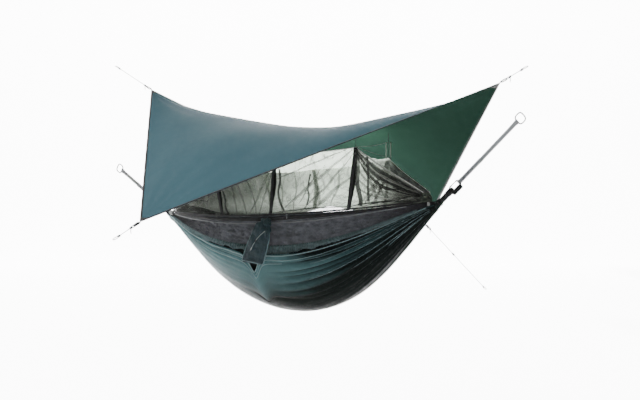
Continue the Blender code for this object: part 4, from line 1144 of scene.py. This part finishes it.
def make_net_folds():
    """The folds and straps of the front net and the rear net."""
    make_folds("front_folds", -1, FOLD_STANDOFF, FRONT_FOLDS, NET_FOLD)
    make_folds("front_dark_folds", -1, FOLD_STANDOFF, FRONT_DARK_FOLDS, DARK_FOLD)
    make_folds("front_pale_folds", -1, PALE_STANDOFF, FRONT_PALE_FOLDS, PALE_FOLD)
    make_folds("rear_folds", 1, FOLD_STANDOFF, REAR_FOLDS, NET_FOLD)
    make_folds("strap_folds", -1, STRAP_STANDOFF, STRAP_FOLDS, STRAP_FOLD, 1.0)
    make_folds("rear_strap_folds", 1, STRAP_STANDOFF, REAR_STRAP_FOLDS, REAR_STRAP, 1.0)


# Hanger tapes
HANGER_RISE = 0.115
HANGER_FOOT = 0.045
HANGER_GAP = 0.034
HANGER_SPREAD = 0.002
HANGER_WIDTH = 0.010
HANGER_THICKNESS = 0.0011
CROSS_CORD = 0.0032
CROSS_CORD_LIFT = 0.006
CROSS_CORD_SAG = 0.010


def make_hangers():
    """The two tapes over the net's rear right corner and the cord that crosses to them."""
    foot = REAR_TOP[3]
    shapes = []
    for side in (-1, 1):
        low = foot + RIGHTWARD * (side * HANGER_GAP / 2) - UP * HANGER_FOOT
        high = low + UP * (HANGER_RISE + HANGER_FOOT) + RIGHTWARD * (side * HANGER_SPREAD)
        shapes.append(sweep(straight(low, high, 8), flat(HANGER_WIDTH, HANGER_THICKNESS), RIGHTWARD))
    solid("rear_hanger_tapes", joined(shapes), HANGER_TAPE)
    top = foot + UP * HANGER_RISE
    start = FRONT_TOP[3] + UP * CROSS_CORD_LIFT
    middle = start.lerp(top, 0.5) - UP * CROSS_CORD_SAG
    route = smooth_route([start, middle, top], 12)
    solid("corner_cross_cord", sweep(route, round_bar(CROSS_CORD), UP), HANGER_TAPE)


# Tarp
TARP_CORNERS = {"left": (0, 0), "front": (1, 0), "right": (1, 1), "rear": (0, 1)}
TARP_CUT = (2.42, 2.42)
TARP_FLAT = (2.40, 2.40)
TARP_CLOTH = 0.0008
TARP_CREASE = 0.0035
TARP_CREASE_START = 0.06
TARP_CREASE_REACH = 0.28
TARP_CREASE_EDGE = 0.02
TARP_BILLOW = 0.004
TARP_BILLOW_EDGE = 0.06
TARP_BILLOWS = 4.2
HEM_SHARE = 0.0058
HEM_STEPS = 60
HEM_STEP = 0.04
HEM_WIDTH = 0.014
HEM_TAPE = 0.0009
HEM_STANDOFF = 0.0011
PATCH_SHARES = {"left": 0.030, "front": 0.022, "right": 0.030, "rear": 0.022}
PATCH_INSET = 0.002
PATCH_ROWS = 10
PATCH = 0.0008
PATCH_STANDOFF = 0.0019


def tarp_level(u, v):
    """A point of the tarp as the part has it."""
    level = ((1 - u) * (1 - v) * TARP_LEFT + u * (1 - v) * TARP_FRONT
             + u * v * TARP_RIGHT + (1 - u) * v * TARP_REAR)
    rise_share = (1 - abs(1 - 2 * u) ** 3) * (1 - abs(1 - 2 * v) ** 3)
    dip = RIDGE_DIP * bell(u + v - 1, RIDGE_DIP_SHARE, RIDGE_DIP_SHARE)
    return level + UP * ((RIDGE_LIFT - dip) * rise_share)


def tarp_normal(u, v):
    """The way its upper face looks."""
    step = 0.01
    low_u = min(max(u, step), 1 - step)
    low_v = min(max(v, step), 1 - step)
    run_u = tarp_level(low_u + step, low_v) - tarp_level(low_u - step, low_v)
    run_v = tarp_level(low_u, low_v + step) - tarp_level(low_u, low_v - step)
    return run_u.cross(run_v).normalized()


def tarp_point(u, v):
    """The tarp with creases that run out of its corners and a slight billow."""
    crease = 0.0
    for number, (corner_u, corner_v) in enumerate(TARP_CORNERS.values()):
        du = abs(u - corner_u)
        dv = abs(v - corner_v)
        reach = hypot(du, dv)
        bearing = dv / max(du + dv, 0.001)
        fan = sin(pi * bearing) * sin(2 * pi * (5.0 * bearing + 0.4 * number))
        crease += TARP_CREASE * fan * exp(-reach / TARP_CREASE_REACH) * min(reach / TARP_CREASE_START, 1.0)
    edge = min(u, 1 - u, v, 1 - v)
    billow = TARP_BILLOW * ripple(u * TARP_BILLOWS, v * TARP_BILLOWS, 5.0) * min(edge / TARP_BILLOW_EDGE, 1.0)
    rise = crease * min(edge / TARP_CREASE_EDGE, 1.0) + billow
    return tarp_level(u, v) + tarp_normal(u, v) * rise


def hem_strip(start, end, lift):
    """The tape along one edge and on one face."""
    points = []
    lays = []
    for i, share in enumerate(shares(HEM_STEPS)):
        u = start[0] + (end[0] - start[0]) * share
        v = start[1] + (end[1] - start[1]) * share
        for k, inset in enumerate((0.0, HEM_SHARE)):
            place = (inset + u * (1 - 2 * inset), inset + v * (1 - 2 * inset))
            points.append(tarp_point(*place) + tarp_normal(*place) * (HEM_STANDOFF * lift))
            lays.append((k * HEM_WIDTH, i * HEM_STEP, 0.0))
    return points, strip_faces(HEM_STEPS), lays


def corner_patch(corner, size):
    """The triangles sewn over a corner, one on each face."""
    points = []
    lays = []
    faces = []
    for lift in (1, -1):
        for i in range(PATCH_ROWS + 1):
            high = len(points)
            for k in range(i + 1):
                across = k / i if i else 0.0
                du = size * (i / PATCH_ROWS) * (1 - across)
                dv = size * (i / PATCH_ROWS) * across
                u = abs(corner[0] - PATCH_INSET - du) if corner[0] else PATCH_INSET + du
                v = abs(corner[1] - PATCH_INSET - dv) if corner[1] else PATCH_INSET + dv
                points.append(tarp_point(u, v) + tarp_normal(u, v) * (PATCH_STANDOFF * lift))
                lays.append((du * TARP_FLAT[0], dv * TARP_FLAT[1], 0.0))
            low = high - i
            for k in range(i):
                faces.append([low + k, high + k, high + k + 1])
                if k < i - 1:
                    faces.append([low + k, high + k + 1, low + k + 1])
    return points, faces, lays


def make_tarp():
    """The tarp, the tape round its edges and its corner patches."""
    tarp = cloth("tarp_cloth", tarp_point, 150, 150, TARP_CUT, [TARP_TOP, TARP_UNDER],
                 TARP_CLOTH, "shelter")
    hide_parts("tarp")
    corners = [*TARP_CORNERS.values(), TARP_CORNERS["left"]]
    strips = [hem_strip(start, end, lift) for start, end in zip(corners, corners[1:]) for lift in (-1, 1)]
    binding = sheet("edge_binding", joined(strips), [BLACK_TAPE], HEM_TAPE, "shelter")
    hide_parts("tarp_edge_tape")
    for name, corner in TARP_CORNERS.items():
        patch = corner_patch(corner, PATCH_SHARES[name])
        sheet("corner_patch_" + name, patch, [BLACK_TAPE], PATCH, "shelter")


# Station cords
NET_CLEARANCE = 0.00115
TARP_CLEARANCE = 0.0014


def tarp_shares(x, y):
    """The shares u and v of the tarp's point over x and y."""
    u = v = 0.5
    side_u = TARP_FRONT - TARP_LEFT
    side_v = TARP_REAR - TARP_LEFT
    area = side_u.x * side_v.y - side_u.y * side_v.x
    for _ in range(12):
        miss = Vector((x, y, 0.0)) - tarp_level(u, v)
        u += (miss.x * side_v.y - miss.y * side_v.x) / area
        v += (side_u.x * miss.y - side_u.y * miss.x) / area
    return u, v


def make_station_cords():
    """At each station the cord from the tarp down to the net, across its roof and up again."""
    over_net = UP * (NET_CLEARANCE + STATION_CORD / 2)
    under_tarp = UP * (TARP_CLEARANCE + STATION_CORD / 2)
    for number, station in enumerate(("left", "middle", "right"), 1):
        front = FRONT_TOP[number] + over_net
        rear = REAR_TOP[number] + over_net
        front_tied = tarp_point(*tarp_shares(front.x, front.y)) - under_tarp
        rear_tied = tarp_point(*tarp_shares(rear.x, rear.y)) - under_tarp
        inward = (rear - front).normalized() * CORD_TURN
        rise = UP * CORD_TURN
        stops = straight(front_tied, front + rise, 10) + [front + (rise + inward) * 0.05]
        stops += straight(front + inward, rear - inward, 12) + [rear + (rise - inward) * 0.05]
        stops += straight(rear + rise, rear_tied, 10)
        cord = solid("station_line_" + station, sweep(stops, round_bar(STATION_CORD), RIGHTWARD), BLACK_CORD,
                     None)
        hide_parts("station_cord_" + station)
        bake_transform(cord)
        tuple(front_tied + MIDDLE)
        route_length(stops)
        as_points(in_frame(stops))


# Guylines, their rings and knots
TAB_START = 0.0007
TAIL_SWING = 0.004
LINE_GAP = 0.0004
LINE_STEP = 0.05
LEAST_STEPS = 14


def cord_loop(start, along, across, length, width, points, squareness):
    """A closed loop that starts at a place on the line."""
    route = ring_route(start + along * (length / 2), along, across, length, width, points, squareness)
    return sweep(route, round_bar(CORD, 10), across.cross(along), closed=True)


def knot_turns(start, along, across):
    """The turns of a knot."""
    route = coil_route(start, along, across, KNOT_LENGTH, KNOT_COIL_RADIUS, KNOT_TURNS)
    return sweep(route, round_bar(CORD), along)


def make_guylines():
    """At each corner the ring, its knot and tail, the line and its end loop."""
    for name, (u, v) in TARP_CORNERS.items():
        corner = tarp_level(u, v)
        end = GUY_ENDS[name]
        along = (end - corner).normalized()
        across = along.cross(tarp_normal(u, v)).normalized()
        bar = corner + along * (TAB_START + TAB_TAPE / 2 + TAB_LENGTH - TAB_EYE_DEPTH)
        knot_start = bar + along * GUY_RING_LENGTH
        tail_start = knot_start + along * (KNOT_LENGTH / 2)
        tail_middle = tail_start - UP * (KNOT_TAIL / 2) + along * TAIL_SWING
        tail = smooth_route([tail_start, tail_middle, tail_start - UP * KNOT_TAIL], 6)
        ring = cord_loop(bar, along, across, GUY_RING_LENGTH, GUY_RING_WIDTH, 28, 4.0)
        shapes = [ring, knot_turns(knot_start, along, across), sweep(tail, round_bar(CORD), across)]
        knot = solid("guy_ring_" + name, joined(shapes), BLACK_CORD, "shelter")
        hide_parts("guy_knot_" + name)

        loop_start = end + along * KNOT_LENGTH
        loop = cord_loop(loop_start, along, across, END_LOOP_LENGTH, END_LOOP_WIDTH, 24, 2.2)
        shape = joined([loop, knot_turns(end, along, across)])
        end_loop = solid("guy_end_" + name, shape, GREY_CORD, "shelter")
        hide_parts("guy_loop_" + name)

        start = knot_start + along * KNOT_LENGTH + along * LINE_GAP
        stop = end - along * LINE_GAP
        length = (stop - start).length
        route = straight(start, stop, max(round(length / LINE_STEP), LEAST_STEPS))
        shape = sweep(route, round_bar(CORD, 12), across.cross(along))
        line = solid("guy_cord_" + name, shape, GREY_CORD, "shelter")
        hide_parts("guyline_" + name)
        tuple(start + MIDDLE)
        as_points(in_frame(route))


# Suspension
NOSE_GAP = 0.0012
NOSE_LENGTH = 0.040
NOSE_RADIUS = 0.031
NOSE_PLEAT = 0.0026
NOSE_GIRTH = 0.188
WHIP_TURNS = 5
WHIP_PITCH = 0.0030
WHIP_RADIUS = 0.0235
WHIP_CORD = 0.0028
CARABINER_START = 0.135
CARABINER_LENGTH = 0.105
CARABINER_BAR = 0.010
CARABINER_HALF_WIDTH = 0.030
ROPE = 0.008
BINDING_GAP = 0.004
BINDING_LENGTH = 0.060
BINDING_RADIUS = 0.0168
BINDING_TURNS = 9
BINDING_CORD = 0.0068
BACK_COIL_START = 0.010
BACK_COIL_LENGTH = 0.076
BACK_COIL_RADIUS = 0.0125
BACK_COIL_TURNS = 7
BACK_COIL_CORD = 0.0112
LASH_BACK = 0.024
LASH_STAGGER = 0.004

# Turns of rope on the carabiner's low bar: the shift along the bar, how far ahead, the bend's radius
LASHINGS = ((-0.0163, 0.0045, 0.0093), (-0.0083, 0.0006, 0.0093), (0.0083, 0.0006, 0.0093),
            (0.0163, 0.0045, 0.0093), (-0.0122, 0.0010, 0.0172), (-0.0041, 0.0010, 0.0172),
            (0.0041, 0.0010, 0.0172), (0.0122, 0.0010, 0.0172), (-0.0083, 0.0010, 0.0250),
            (0.0, 0.0010, 0.0250), (0.0083, 0.0010, 0.0250))


def make_suspension(side, gather, tree):
    """The pieces from a gathered end towards the tree: the bunched cloth, its whipping, the rope's lashing
    and the bar tacks.
    """
    start = gather + Vector((NOSE_GAP if gather.x > 0 else -NOSE_GAP, 0.0, -GATHER_DEPTH / 2))
    along = (tree - start).normalized()
    across = REARWARD.cross(along)
    across = across if across.z > 0 else -across

    def nose_point(share, turn):
        """The bunched cloth, which narrows from the hull to its whipping."""
        wide = (1 - 0.60 * share ** 1.5) * (1 - 0.10 * bell(share, 0.55, 0.10))
        uneven = sin(9 * turn + 1.5 * ripple(turn, share * 3))
        reach = NOSE_RADIUS * wide + NOSE_PLEAT * uneven * (0.35 + 0.65 * sin(pi * share))
        centre = start + along * (NOSE_LENGTH * share)
        return centre + REARWARD * (reach * cos(turn)) + UP.lerp(across, share) * (reach * sin(turn))

    nose = solid(side + "_gather_cloth", loft(16, 54, nose_point, NOSE_GIRTH, NOSE_LENGTH), DARK)
    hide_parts(side + "_gather")
    whip_start = start + along * (NOSE_LENGTH * 0.46)
    whip = coil_route(whip_start, along, across, WHIP_TURNS * WHIP_PITCH, WHIP_RADIUS, WHIP_TURNS, 28)
    solid(side + "_whipping", sweep(whip, round_bar(WHIP_CORD), along), BLACK_CORD)
    make_lashing(side, start, along, across)
    make_tacks(side, start, along, across)


def make_lashing(side, start, along, across):
    """The rope's binding, its turns round the carabiner's low bar and the coil wound on the back bar."""
    low_bar = start + along * CARABINER_START
    shapes = []
    for number, (shift, ahead, bend) in enumerate(LASHINGS):
        base = low_bar + across * shift + along * ahead
        back = LASH_BACK + LASH_STAGGER * (number % 2)
        route = []
        for i in range(24):
            turn = 2 * pi * i / 24
            centre = base - along * back if sin(turn) < -0.01 else base
            route.append(centre - REARWARD * (bend * cos(turn)) + along * (bend * sin(turn)))
        shapes.append(sweep(route, round_bar(ROPE), across, closed=True))
    binding = coil_route(start + along * (NOSE_LENGTH + BINDING_GAP), along, across, BINDING_LENGTH,
                         BINDING_RADIUS, BINDING_TURNS, 20)
    shapes.append(sweep(binding, round_bar(BINDING_CORD), along))
    back_bar = low_bar + along * BACK_COIL_START - across * (CARABINER_HALF_WIDTH - CARABINER_BAR / 2)
    coil = coil_route(back_bar, along, across, BACK_COIL_LENGTH, BACK_COIL_RADIUS, BACK_COIL_TURNS, 16)
    shapes.append(sweep(coil, round_bar(BACK_COIL_CORD), along))
    solid(side + "_rope_lashing", joined(shapes), BLACK_CORD)


CHAIN_LENGTH = 0.215
CHAIN_POCKETS = 5
TACK_SHIFT = 0.001
TACK_ROW = 0.0016
TACK_STANDOFF = 0.0023
TACK_HALF_LENGTH = 0.0125
TACK_WIDTH = 0.0009
TACK_THREAD = 0.0005


def make_tacks(side, start, along, across):
    """The bar tacks across the daisy chain."""
    bar = start + along * (CARABINER_START + CARABINER_LENGTH - CARABINER_BAR)
    shapes = []
    for number in range(1, CHAIN_POCKETS + 1):
        for row in (-1, 0, 1):
            place = bar + along * (CHAIN_LENGTH * number / CHAIN_POCKETS - TACK_SHIFT + row * TACK_ROW)
            for face in (-1, 1):
                centre = place + REARWARD * (face * TACK_STANDOFF)
                ends = [centre - across * TACK_HALF_LENGTH, centre + across * TACK_HALF_LENGTH]
                shapes.append(sweep(ends, flat(TACK_WIDTH, TACK_THREAD), REARWARD))
    solid(side + "_bar_tacks", joined(shapes), DARK_THREAD)


# Pale cords at the gathers
LOOSE_END_START = -1.195
LOOSE_END_STEP = 0.011
LOOSE_END_DROP = 0.012
LOOSE_END_WAVE = 0.006
LOOSE_END_STANDOFF = 0.008
LOOSE_END_CORD = 0.0034
RIGHT_TURNS = (1.165, 1.172)
RIGHT_TURN_STEP = 0.012
RIGHT_TURN_STANDOFF = 0.010
RIGHT_TURN_CORD = 0.0050


def make_gather_cords():
    """The pale whipping seen where the cloth bunches: wavy ends at the left, turns round the right."""
    shapes = []
    for row in range(3):
        stops = []
        for i in range(9):
            x = LOOSE_END_START + LOOSE_END_STEP * i
            height = LOOSE_END_STANDOFF - LOOSE_END_DROP * row + LOOSE_END_WAVE * sin(2.4 * i + 2.1 * row)
            stops.append(Vector((x, -half_width(x) - LOOSE_END_STANDOFF, rim_height(x) + height)))
        shapes.append(sweep(smooth_route(stops, 4), round_bar(LOOSE_END_CORD), REARWARD))
    for x in RIGHT_TURNS:
        route = [hull_point(x, RIGHT_TURN_STEP * i, RIGHT_TURN_STANDOFF) for i in range(9)]
        shapes.append(sweep(route, round_bar(RIGHT_TURN_CORD), RIGHTWARD))
    solid("gather_cords", joined(shapes), PALE_CORD)


# Stuff sack
SACK_LEAN = radians(22)
SACK_LENGTH = 0.315
SACK_HALF_WIDTH = 0.092
SACK_HALF_THICKNESS = 0.016
SACK_GIRTH = 0.24
SACK_STANDOFF = 0.034
SACK_PLACE = 0.075
SACK_DROP = 0.018
SACK_CLOTH = 0.0004
SACK_CORNER_DROP = 0.055
TOP_STANDOFF = 0.0032
DRAWCORD = 0.0026
DRAWCORD_LIFT = 0.005
COLLAR_HALF_WIDTH = 0.043
COLLAR_HALF_THICKNESS = 0.017
COLLAR_STANDOFF = 0.008
COLLAR_GIRTH = 0.12
COLLAR_LENGTH = 0.05
COLLAR_START_SHARE = 0.015
COLLAR_REACH_SHARE = 0.14
SEAM_CORD = 0.0075
SEAM_STANDOFF = 0.0006
SEAM_FIRST_ROW = 8
SACK_ROWS = 60
BOTTOM_CORD = 0.0065
BOTTOM_SHARE = 0.975
SACK_OUT = Vector((0.0, -1.0, 0.0))
SACK_DOWN = -UP * cos(SACK_LEAN) - RIGHTWARD * sin(SACK_LEAN)
SACK_WIDE = RIGHTWARD * cos(SACK_LEAN) - UP * sin(SACK_LEAN)
NECK_HALF_THICKNESS = SACK_HALF_THICKNESS * 0.4
SACK_TOP = hull_point(SACK_PLACE, 0.0, TOP_STANDOFF + SACK_CLOTH + NECK_HALF_THICKNESS) - UP * SACK_DROP

# Shares of the sack's length, width and thickness
SACK_STATIONS = ((0.0, 0.20, 0.4), (0.06, 0.22, 0.5), (0.12, 0.34, 0.75), (0.22, 0.66, 1.0),
                 (0.45, 0.86, 1.0), (0.75, 0.96, 0.9), (0.94, 1.0, 0.55), (1.0, 0.92, 0.2))

# Shares of the sack's length and half width where the drawcord lies, and how far it stands off
DRAWCORD_STOPS = ((0.24, 0.40, -0.44), (0.30, 0.26, 0.4), (0.40, 0.06, 0.8), (0.52, -0.12, 1.0),
                  (0.64, -0.24, 1.0), (0.74, -0.30, 1.0))


def corner_drop(share, side_share):
    """How much further the sack's left side reaches down towards its bottom."""
    return SACK_DOWN * (SACK_CORNER_DROP * (0.5 - 0.5 * side_share) * share ** 6)


def sack_centre(share):
    """The sack's middle line."""
    return SACK_TOP + SACK_DOWN * (SACK_LENGTH * share) + SACK_OUT * (SACK_STANDOFF * min(share / 0.22, 1.0))


def sack_shares(share):
    """Shares of the width and thickness at a share down the sack."""
    for low, high in zip(SACK_STATIONS, SACK_STATIONS[1:]):
        if share <= high[0]:
            part = (share - low[0]) / (high[0] - low[0])
            part = part * part * (3 - 2 * part)
            return low[1] + (high[1] - low[1]) * part, low[2] + (high[2] - low[2]) * part
    return SACK_STATIONS[-1][1:]


def sack_point(share, turn):
    """The sack's skin, puckered at its neck and slack below it."""
    width_share, thick_share = sack_shares(share)
    neck = bell(share, 0.10, 0.10)
    below = bell(share, 0.22, 0.16)
    pleat = 1 + 0.30 * neck * sin(11 * turn) + 0.16 * below * sin(9 * turn + 2 * ripple(share * 5, turn))
    sag = 0.30 * ripple(share * 7, cos(turn) * 2, sin(turn)) + 0.25 * ripple(share * 3, cos(turn) * 4.5, 2.0)
    a = power(cos(turn), 0.8) * SACK_HALF_WIDTH * width_share * pleat
    b = power(sin(turn), 0.8) * SACK_HALF_THICKNESS * thick_share * (pleat + sag * (1 - neck) * 1.8)
    if b < 0:
        b *= 0.25 + 0.75 * min(share / 0.14, 1.0)
    return sack_centre(share) + SACK_WIDE * a + SACK_OUT * b + corner_drop(share, a / SACK_HALF_WIDTH)


def collar_point(share, turn):
    """The bunched collar of cloth above the closed neck."""
    lobes = 1 + 0.16 * sin(7 * turn + 5 * share) + 0.22 * ripple(cos(turn) * 2.2, sin(turn) * 2.2, share * 4)
    body = sin(pi * min(max(share, 0.02), 0.98)) ** 0.6 * lobes
    centre = sack_centre(COLLAR_START_SHARE + COLLAR_REACH_SHARE * share) + SACK_OUT * COLLAR_STANDOFF
    across = SACK_WIDE * (COLLAR_HALF_WIDTH * body * cos(turn))
    return centre + across + SACK_OUT * (COLLAR_HALF_THICKNESS * body * sin(turn))


def make_sack_seams():
    """The cord in both side seams and along the bottom."""
    shapes = []
    for side in (-1, 1):
        route = []
        for share in shares(SACK_ROWS)[SEAM_FIRST_ROW:]:
            edge = side * (SACK_HALF_WIDTH * sack_shares(share)[0] + SEAM_STANDOFF)
            route.append(sack_centre(share) + SACK_WIDE * edge + corner_drop(share, edge / SACK_HALF_WIDTH))
        shapes.append(sweep(route, round_bar(SEAM_CORD), SACK_OUT))
    hem = []
    for share in shares(16):
        side_share = (2 * share - 1) * sack_shares(0.97)[0]
        place = sack_centre(BOTTOM_SHARE) + SACK_WIDE * (SACK_HALF_WIDTH * side_share)
        hem.append(place + SACK_OUT * (SACK_HALF_THICKNESS * 0.7) + corner_drop(BOTTOM_SHARE, side_share))
    shapes.append(sweep(hem, round_bar(BOTTOM_CORD), SACK_OUT))
    solid("sack_seams", joined(shapes), SACK_SEAM, "sack_body")


def make_sack():
    """The sack with its puckered neck, side seams, collar and drawcord."""
    sack = solid("sack_cloth", loft(SACK_ROWS, 64, sack_point, SACK_GIRTH, SACK_LENGTH), SACK,
                 "sack_body")
    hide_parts("stuff_sack")
    make_sack_seams()
    solid("sack_collar", loft(26, 72, collar_point, COLLAR_GIRTH, COLLAR_LENGTH), SACK,
          "sack_body")
    skin = SACK_HALF_THICKNESS + SACK_CLOTH + DRAWCORD / 2
    stops = []
    for share, side_share, away in DRAWCORD_STOPS:
        place = sack_centre(share) + SACK_WIDE * (SACK_HALF_WIDTH * side_share)
        stops.append(place + SACK_OUT * (skin + DRAWCORD_LIFT * away))
    route = smooth_route(stops, 4)
    drawcord = solid("drawcord", sweep(route, round_bar(DRAWCORD, 12), SACK_OUT), SACK_CORD,
                     "sack_body")
    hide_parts("sack_drawcord")
    tuple(route[0] + MIDDLE)
    route_length(route)
    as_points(in_frame(route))


# Slack tapes on the front net, tied back when it is rolled up: x and z of their stops
TIE_TAPES = (((0.135, 0.275), (0.15, 0.20), (0.14, 0.115), (0.165, 0.04), (0.20, -0.012)),
             ((0.40, 0.243), (0.385, 0.147), (0.395, 0.087), (0.38, 0.032)),
             ((0.765, 0.41), (0.772, 0.298), (0.757, 0.18), (0.77, 0.082), (0.765, 0.03)),
             ((-0.38, 0.115), (-0.352, 0.06), (-0.345, 0.0), (-0.31, -0.05)),
             ((0.85, 0.36), (0.845, 0.272), (0.83, 0.174), (0.82, 0.06)))
TIE_WIDTHS = (0.018, 0.014, 0.034, 0.016, 0.018)
TIE_THICKNESS = 0.0009
TIE_STANDOFF = 0.010


def net_face(x, z):
    """The place on the front net at a height."""
    share = held((z - rim_height(x)) / (FRONT_TOP_HEIGHTS[1] - rim_height(x)))
    return Vector((x, -half_width(x) * (1 - share) - NET_TOP_HALF_WIDTH * share - TIE_STANDOFF, z))


def make_tie_tapes():
    """Thin tapes that hang down the net in loose waves."""
    for number, (stops, width) in enumerate(zip(TIE_TAPES, TIE_WIDTHS), 1):
        route = smooth_route([net_face(x, z) for x, z in stops], 8)
        solid("tie_tape_" + str(number), sweep(route, flat(width, TIE_THICKNESS), RIGHTWARD), TIE_TAPE)


def dress_fittings():
    """Finishes for the nodes that stay as the part has them."""
    finishes = {"line_adjuster": PLASTIC, "cord_lock": PLASTIC, "drawcord_tip": PALE_CORD,
                "zip_slider": PLATED, "zip_pull": PLATED, "zip_tape": BLACK_TAPE, "rim_piping": GREY_TAPE}
    for side in ("left", "right"):
        for name, finish in (("carabiner", ANODISED), ("gate", ANODISED), ("gate_pin", ANODISED),
                             ("daisy_chain", GREY_TAPE), ("tree_strap", GREY_TAPE), ("rope", BLACK_CORD),
                             ("tree_loop", BLACK_CORD)):
            finishes[side + "_" + name] = finish
    for name in ("left", "middle", "right"):
        finishes["net_strap_front_" + name] = BLACK_TAPE
        finishes["net_strap_rear_" + name] = GREY_TAPE
    for name in TARP_CORNERS:
        finishes["corner_tab_" + name] = BLACK_TAPE
    for name, finish in finishes.items():
        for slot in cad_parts[name].material_slots:
            slot.material = finish


# Floor and light
FLOOR_HEIGHT = -1.90
FLOOR_HALF_WIDTH = 40.0
FLOOR_COLUMNS = 40
FLOOR_FRONT = -30.0
FLOOR_STOPS = (4.0, 8.0, 16.0)
FLOOR_CURVE = 6.0
WALL_HEIGHTS = (8.0, 10.0, 12.0, 14.0, 40.0)
FLOOR_TONE = (0.86, 0.86, 0.86, 1.0)
VIEW_TURN = radians(36)
GLOW = 10.5
GLOW_START = 1.3
GLOW_END = 2.3
GLOW_HALF_WIDTH = 4.0
GLOW_WIDTH_FROM = -8.0
GLOW_SPREAD = 0.30
GLOW_SIDE_EDGE = 3.0
GLOW_TOP = 13.0
GLOW_TOP_EDGE = 4.0
AMBIENT = 0.14

# Each lamp's place to the right, to the rear and up, its size and its watts
LAMPS = (("key", -4.6, -3.4, 5.6, 2.2, 520.0),
         ("front_fill", 1.5, -7.0, 1.6, 4.0, 110.0))


def make_backdrop():
    """A pale floor that turns up into a glowing wall."""
    pale = Finish("studio_pale", 0.9)
    pale.constant("Base Color", FLOOR_TONE)
    pale.vary("Emission Color", pale.blend(pale.depth, BLACK, WHITE))
    pale.constant("Emission Strength", GLOW)
    bend = FLOOR_STOPS[-1]
    profile = [(FLOOR_FRONT, 0.0), (0.0, 0.0)]
    profile += [(GLOW_START + (GLOW_END - GLOW_START) * share, 0.0) for share in shares(4)]
    profile += [(distance, 0.0) for distance in FLOOR_STOPS]
    for share in shares(12)[1:]:
        turn = pi / 2 * share
        profile.append((bend + FLOOR_CURVE * sin(turn), FLOOR_CURVE - FLOOR_CURVE * cos(turn)))
    profile += [(bend + FLOOR_CURVE, height) for height in WALL_HEIGHTS]
    points = []
    lays = []
    for distance, height in profile:
        near = held((distance - GLOW_START) / (GLOW_END - GLOW_START))
        low = held((GLOW_TOP - height) / GLOW_TOP_EDGE)
        half = GLOW_SPREAD * (distance - GLOW_WIDTH_FROM) + GLOW_HALF_WIDTH
        for share in shares(FLOOR_COLUMNS):
            side = FLOOR_HALF_WIDTH * (2 * share - 1)
            points.append(Vector((side, distance, height + FLOOR_HEIGHT)))
            lays.append((side, distance, near * held((half - abs(side)) / GLOW_SIDE_EDGE) * low))
    faces = [face[::-1] for face in grid_faces(len(profile) - 1, FLOOR_COLUMNS)]
    studio = mesh_object("studio", points, faces, lays, [pale.material])
    studio.location = MIDDLE
    studio.rotation_euler = (0.0, 0.0, VIEW_TURN)


def make_light():
    """Soft light from the upper left, a fill from the front and a little from everywhere."""
    world = bpy.data.worlds.new("studio_light")
    world.use_nodes = True
    backdrop = world.node_tree.nodes["Background"]
    backdrop.inputs["Color"].default_value = (*WHITE, 1.0)
    backdrop.inputs["Strength"].default_value = AMBIENT
    bpy.context.scene.world = world
    across = Vector((cos(VIEW_TURN), sin(VIEW_TURN), 0.0))
    away = Vector((-sin(VIEW_TURN), cos(VIEW_TURN), 0.0))
    for name, right, rear, high, size, watts in LAMPS:
        light = bpy.data.lights.new(name, "AREA")
        light.size = size
        light.energy = watts
        lamp = bpy.data.objects.new(name, light)
        bpy.context.collection.objects.link(lamp)
        place = across * right + away * rear + UP * high
        lamp.location = MIDDLE + place
        lamp.rotation_euler = (-place).to_track_quat("-Z", "Y").to_euler()


make_guylines()
make_sack()
make_hull()
make_outer_layer()
make_rim()
make_zip()
make_net()
make_tarp()
make_suspension("left", LEFT_GATHER, LEFT_TREE)
make_suspension("right", RIGHT_GATHER, RIGHT_TREE)
make_station_cords()
make_gather_cords()
make_taut_fold_highlights()
make_tie_tapes()
make_net_folds()
make_hangers()
dress_fittings()
make_backdrop()
make_light()
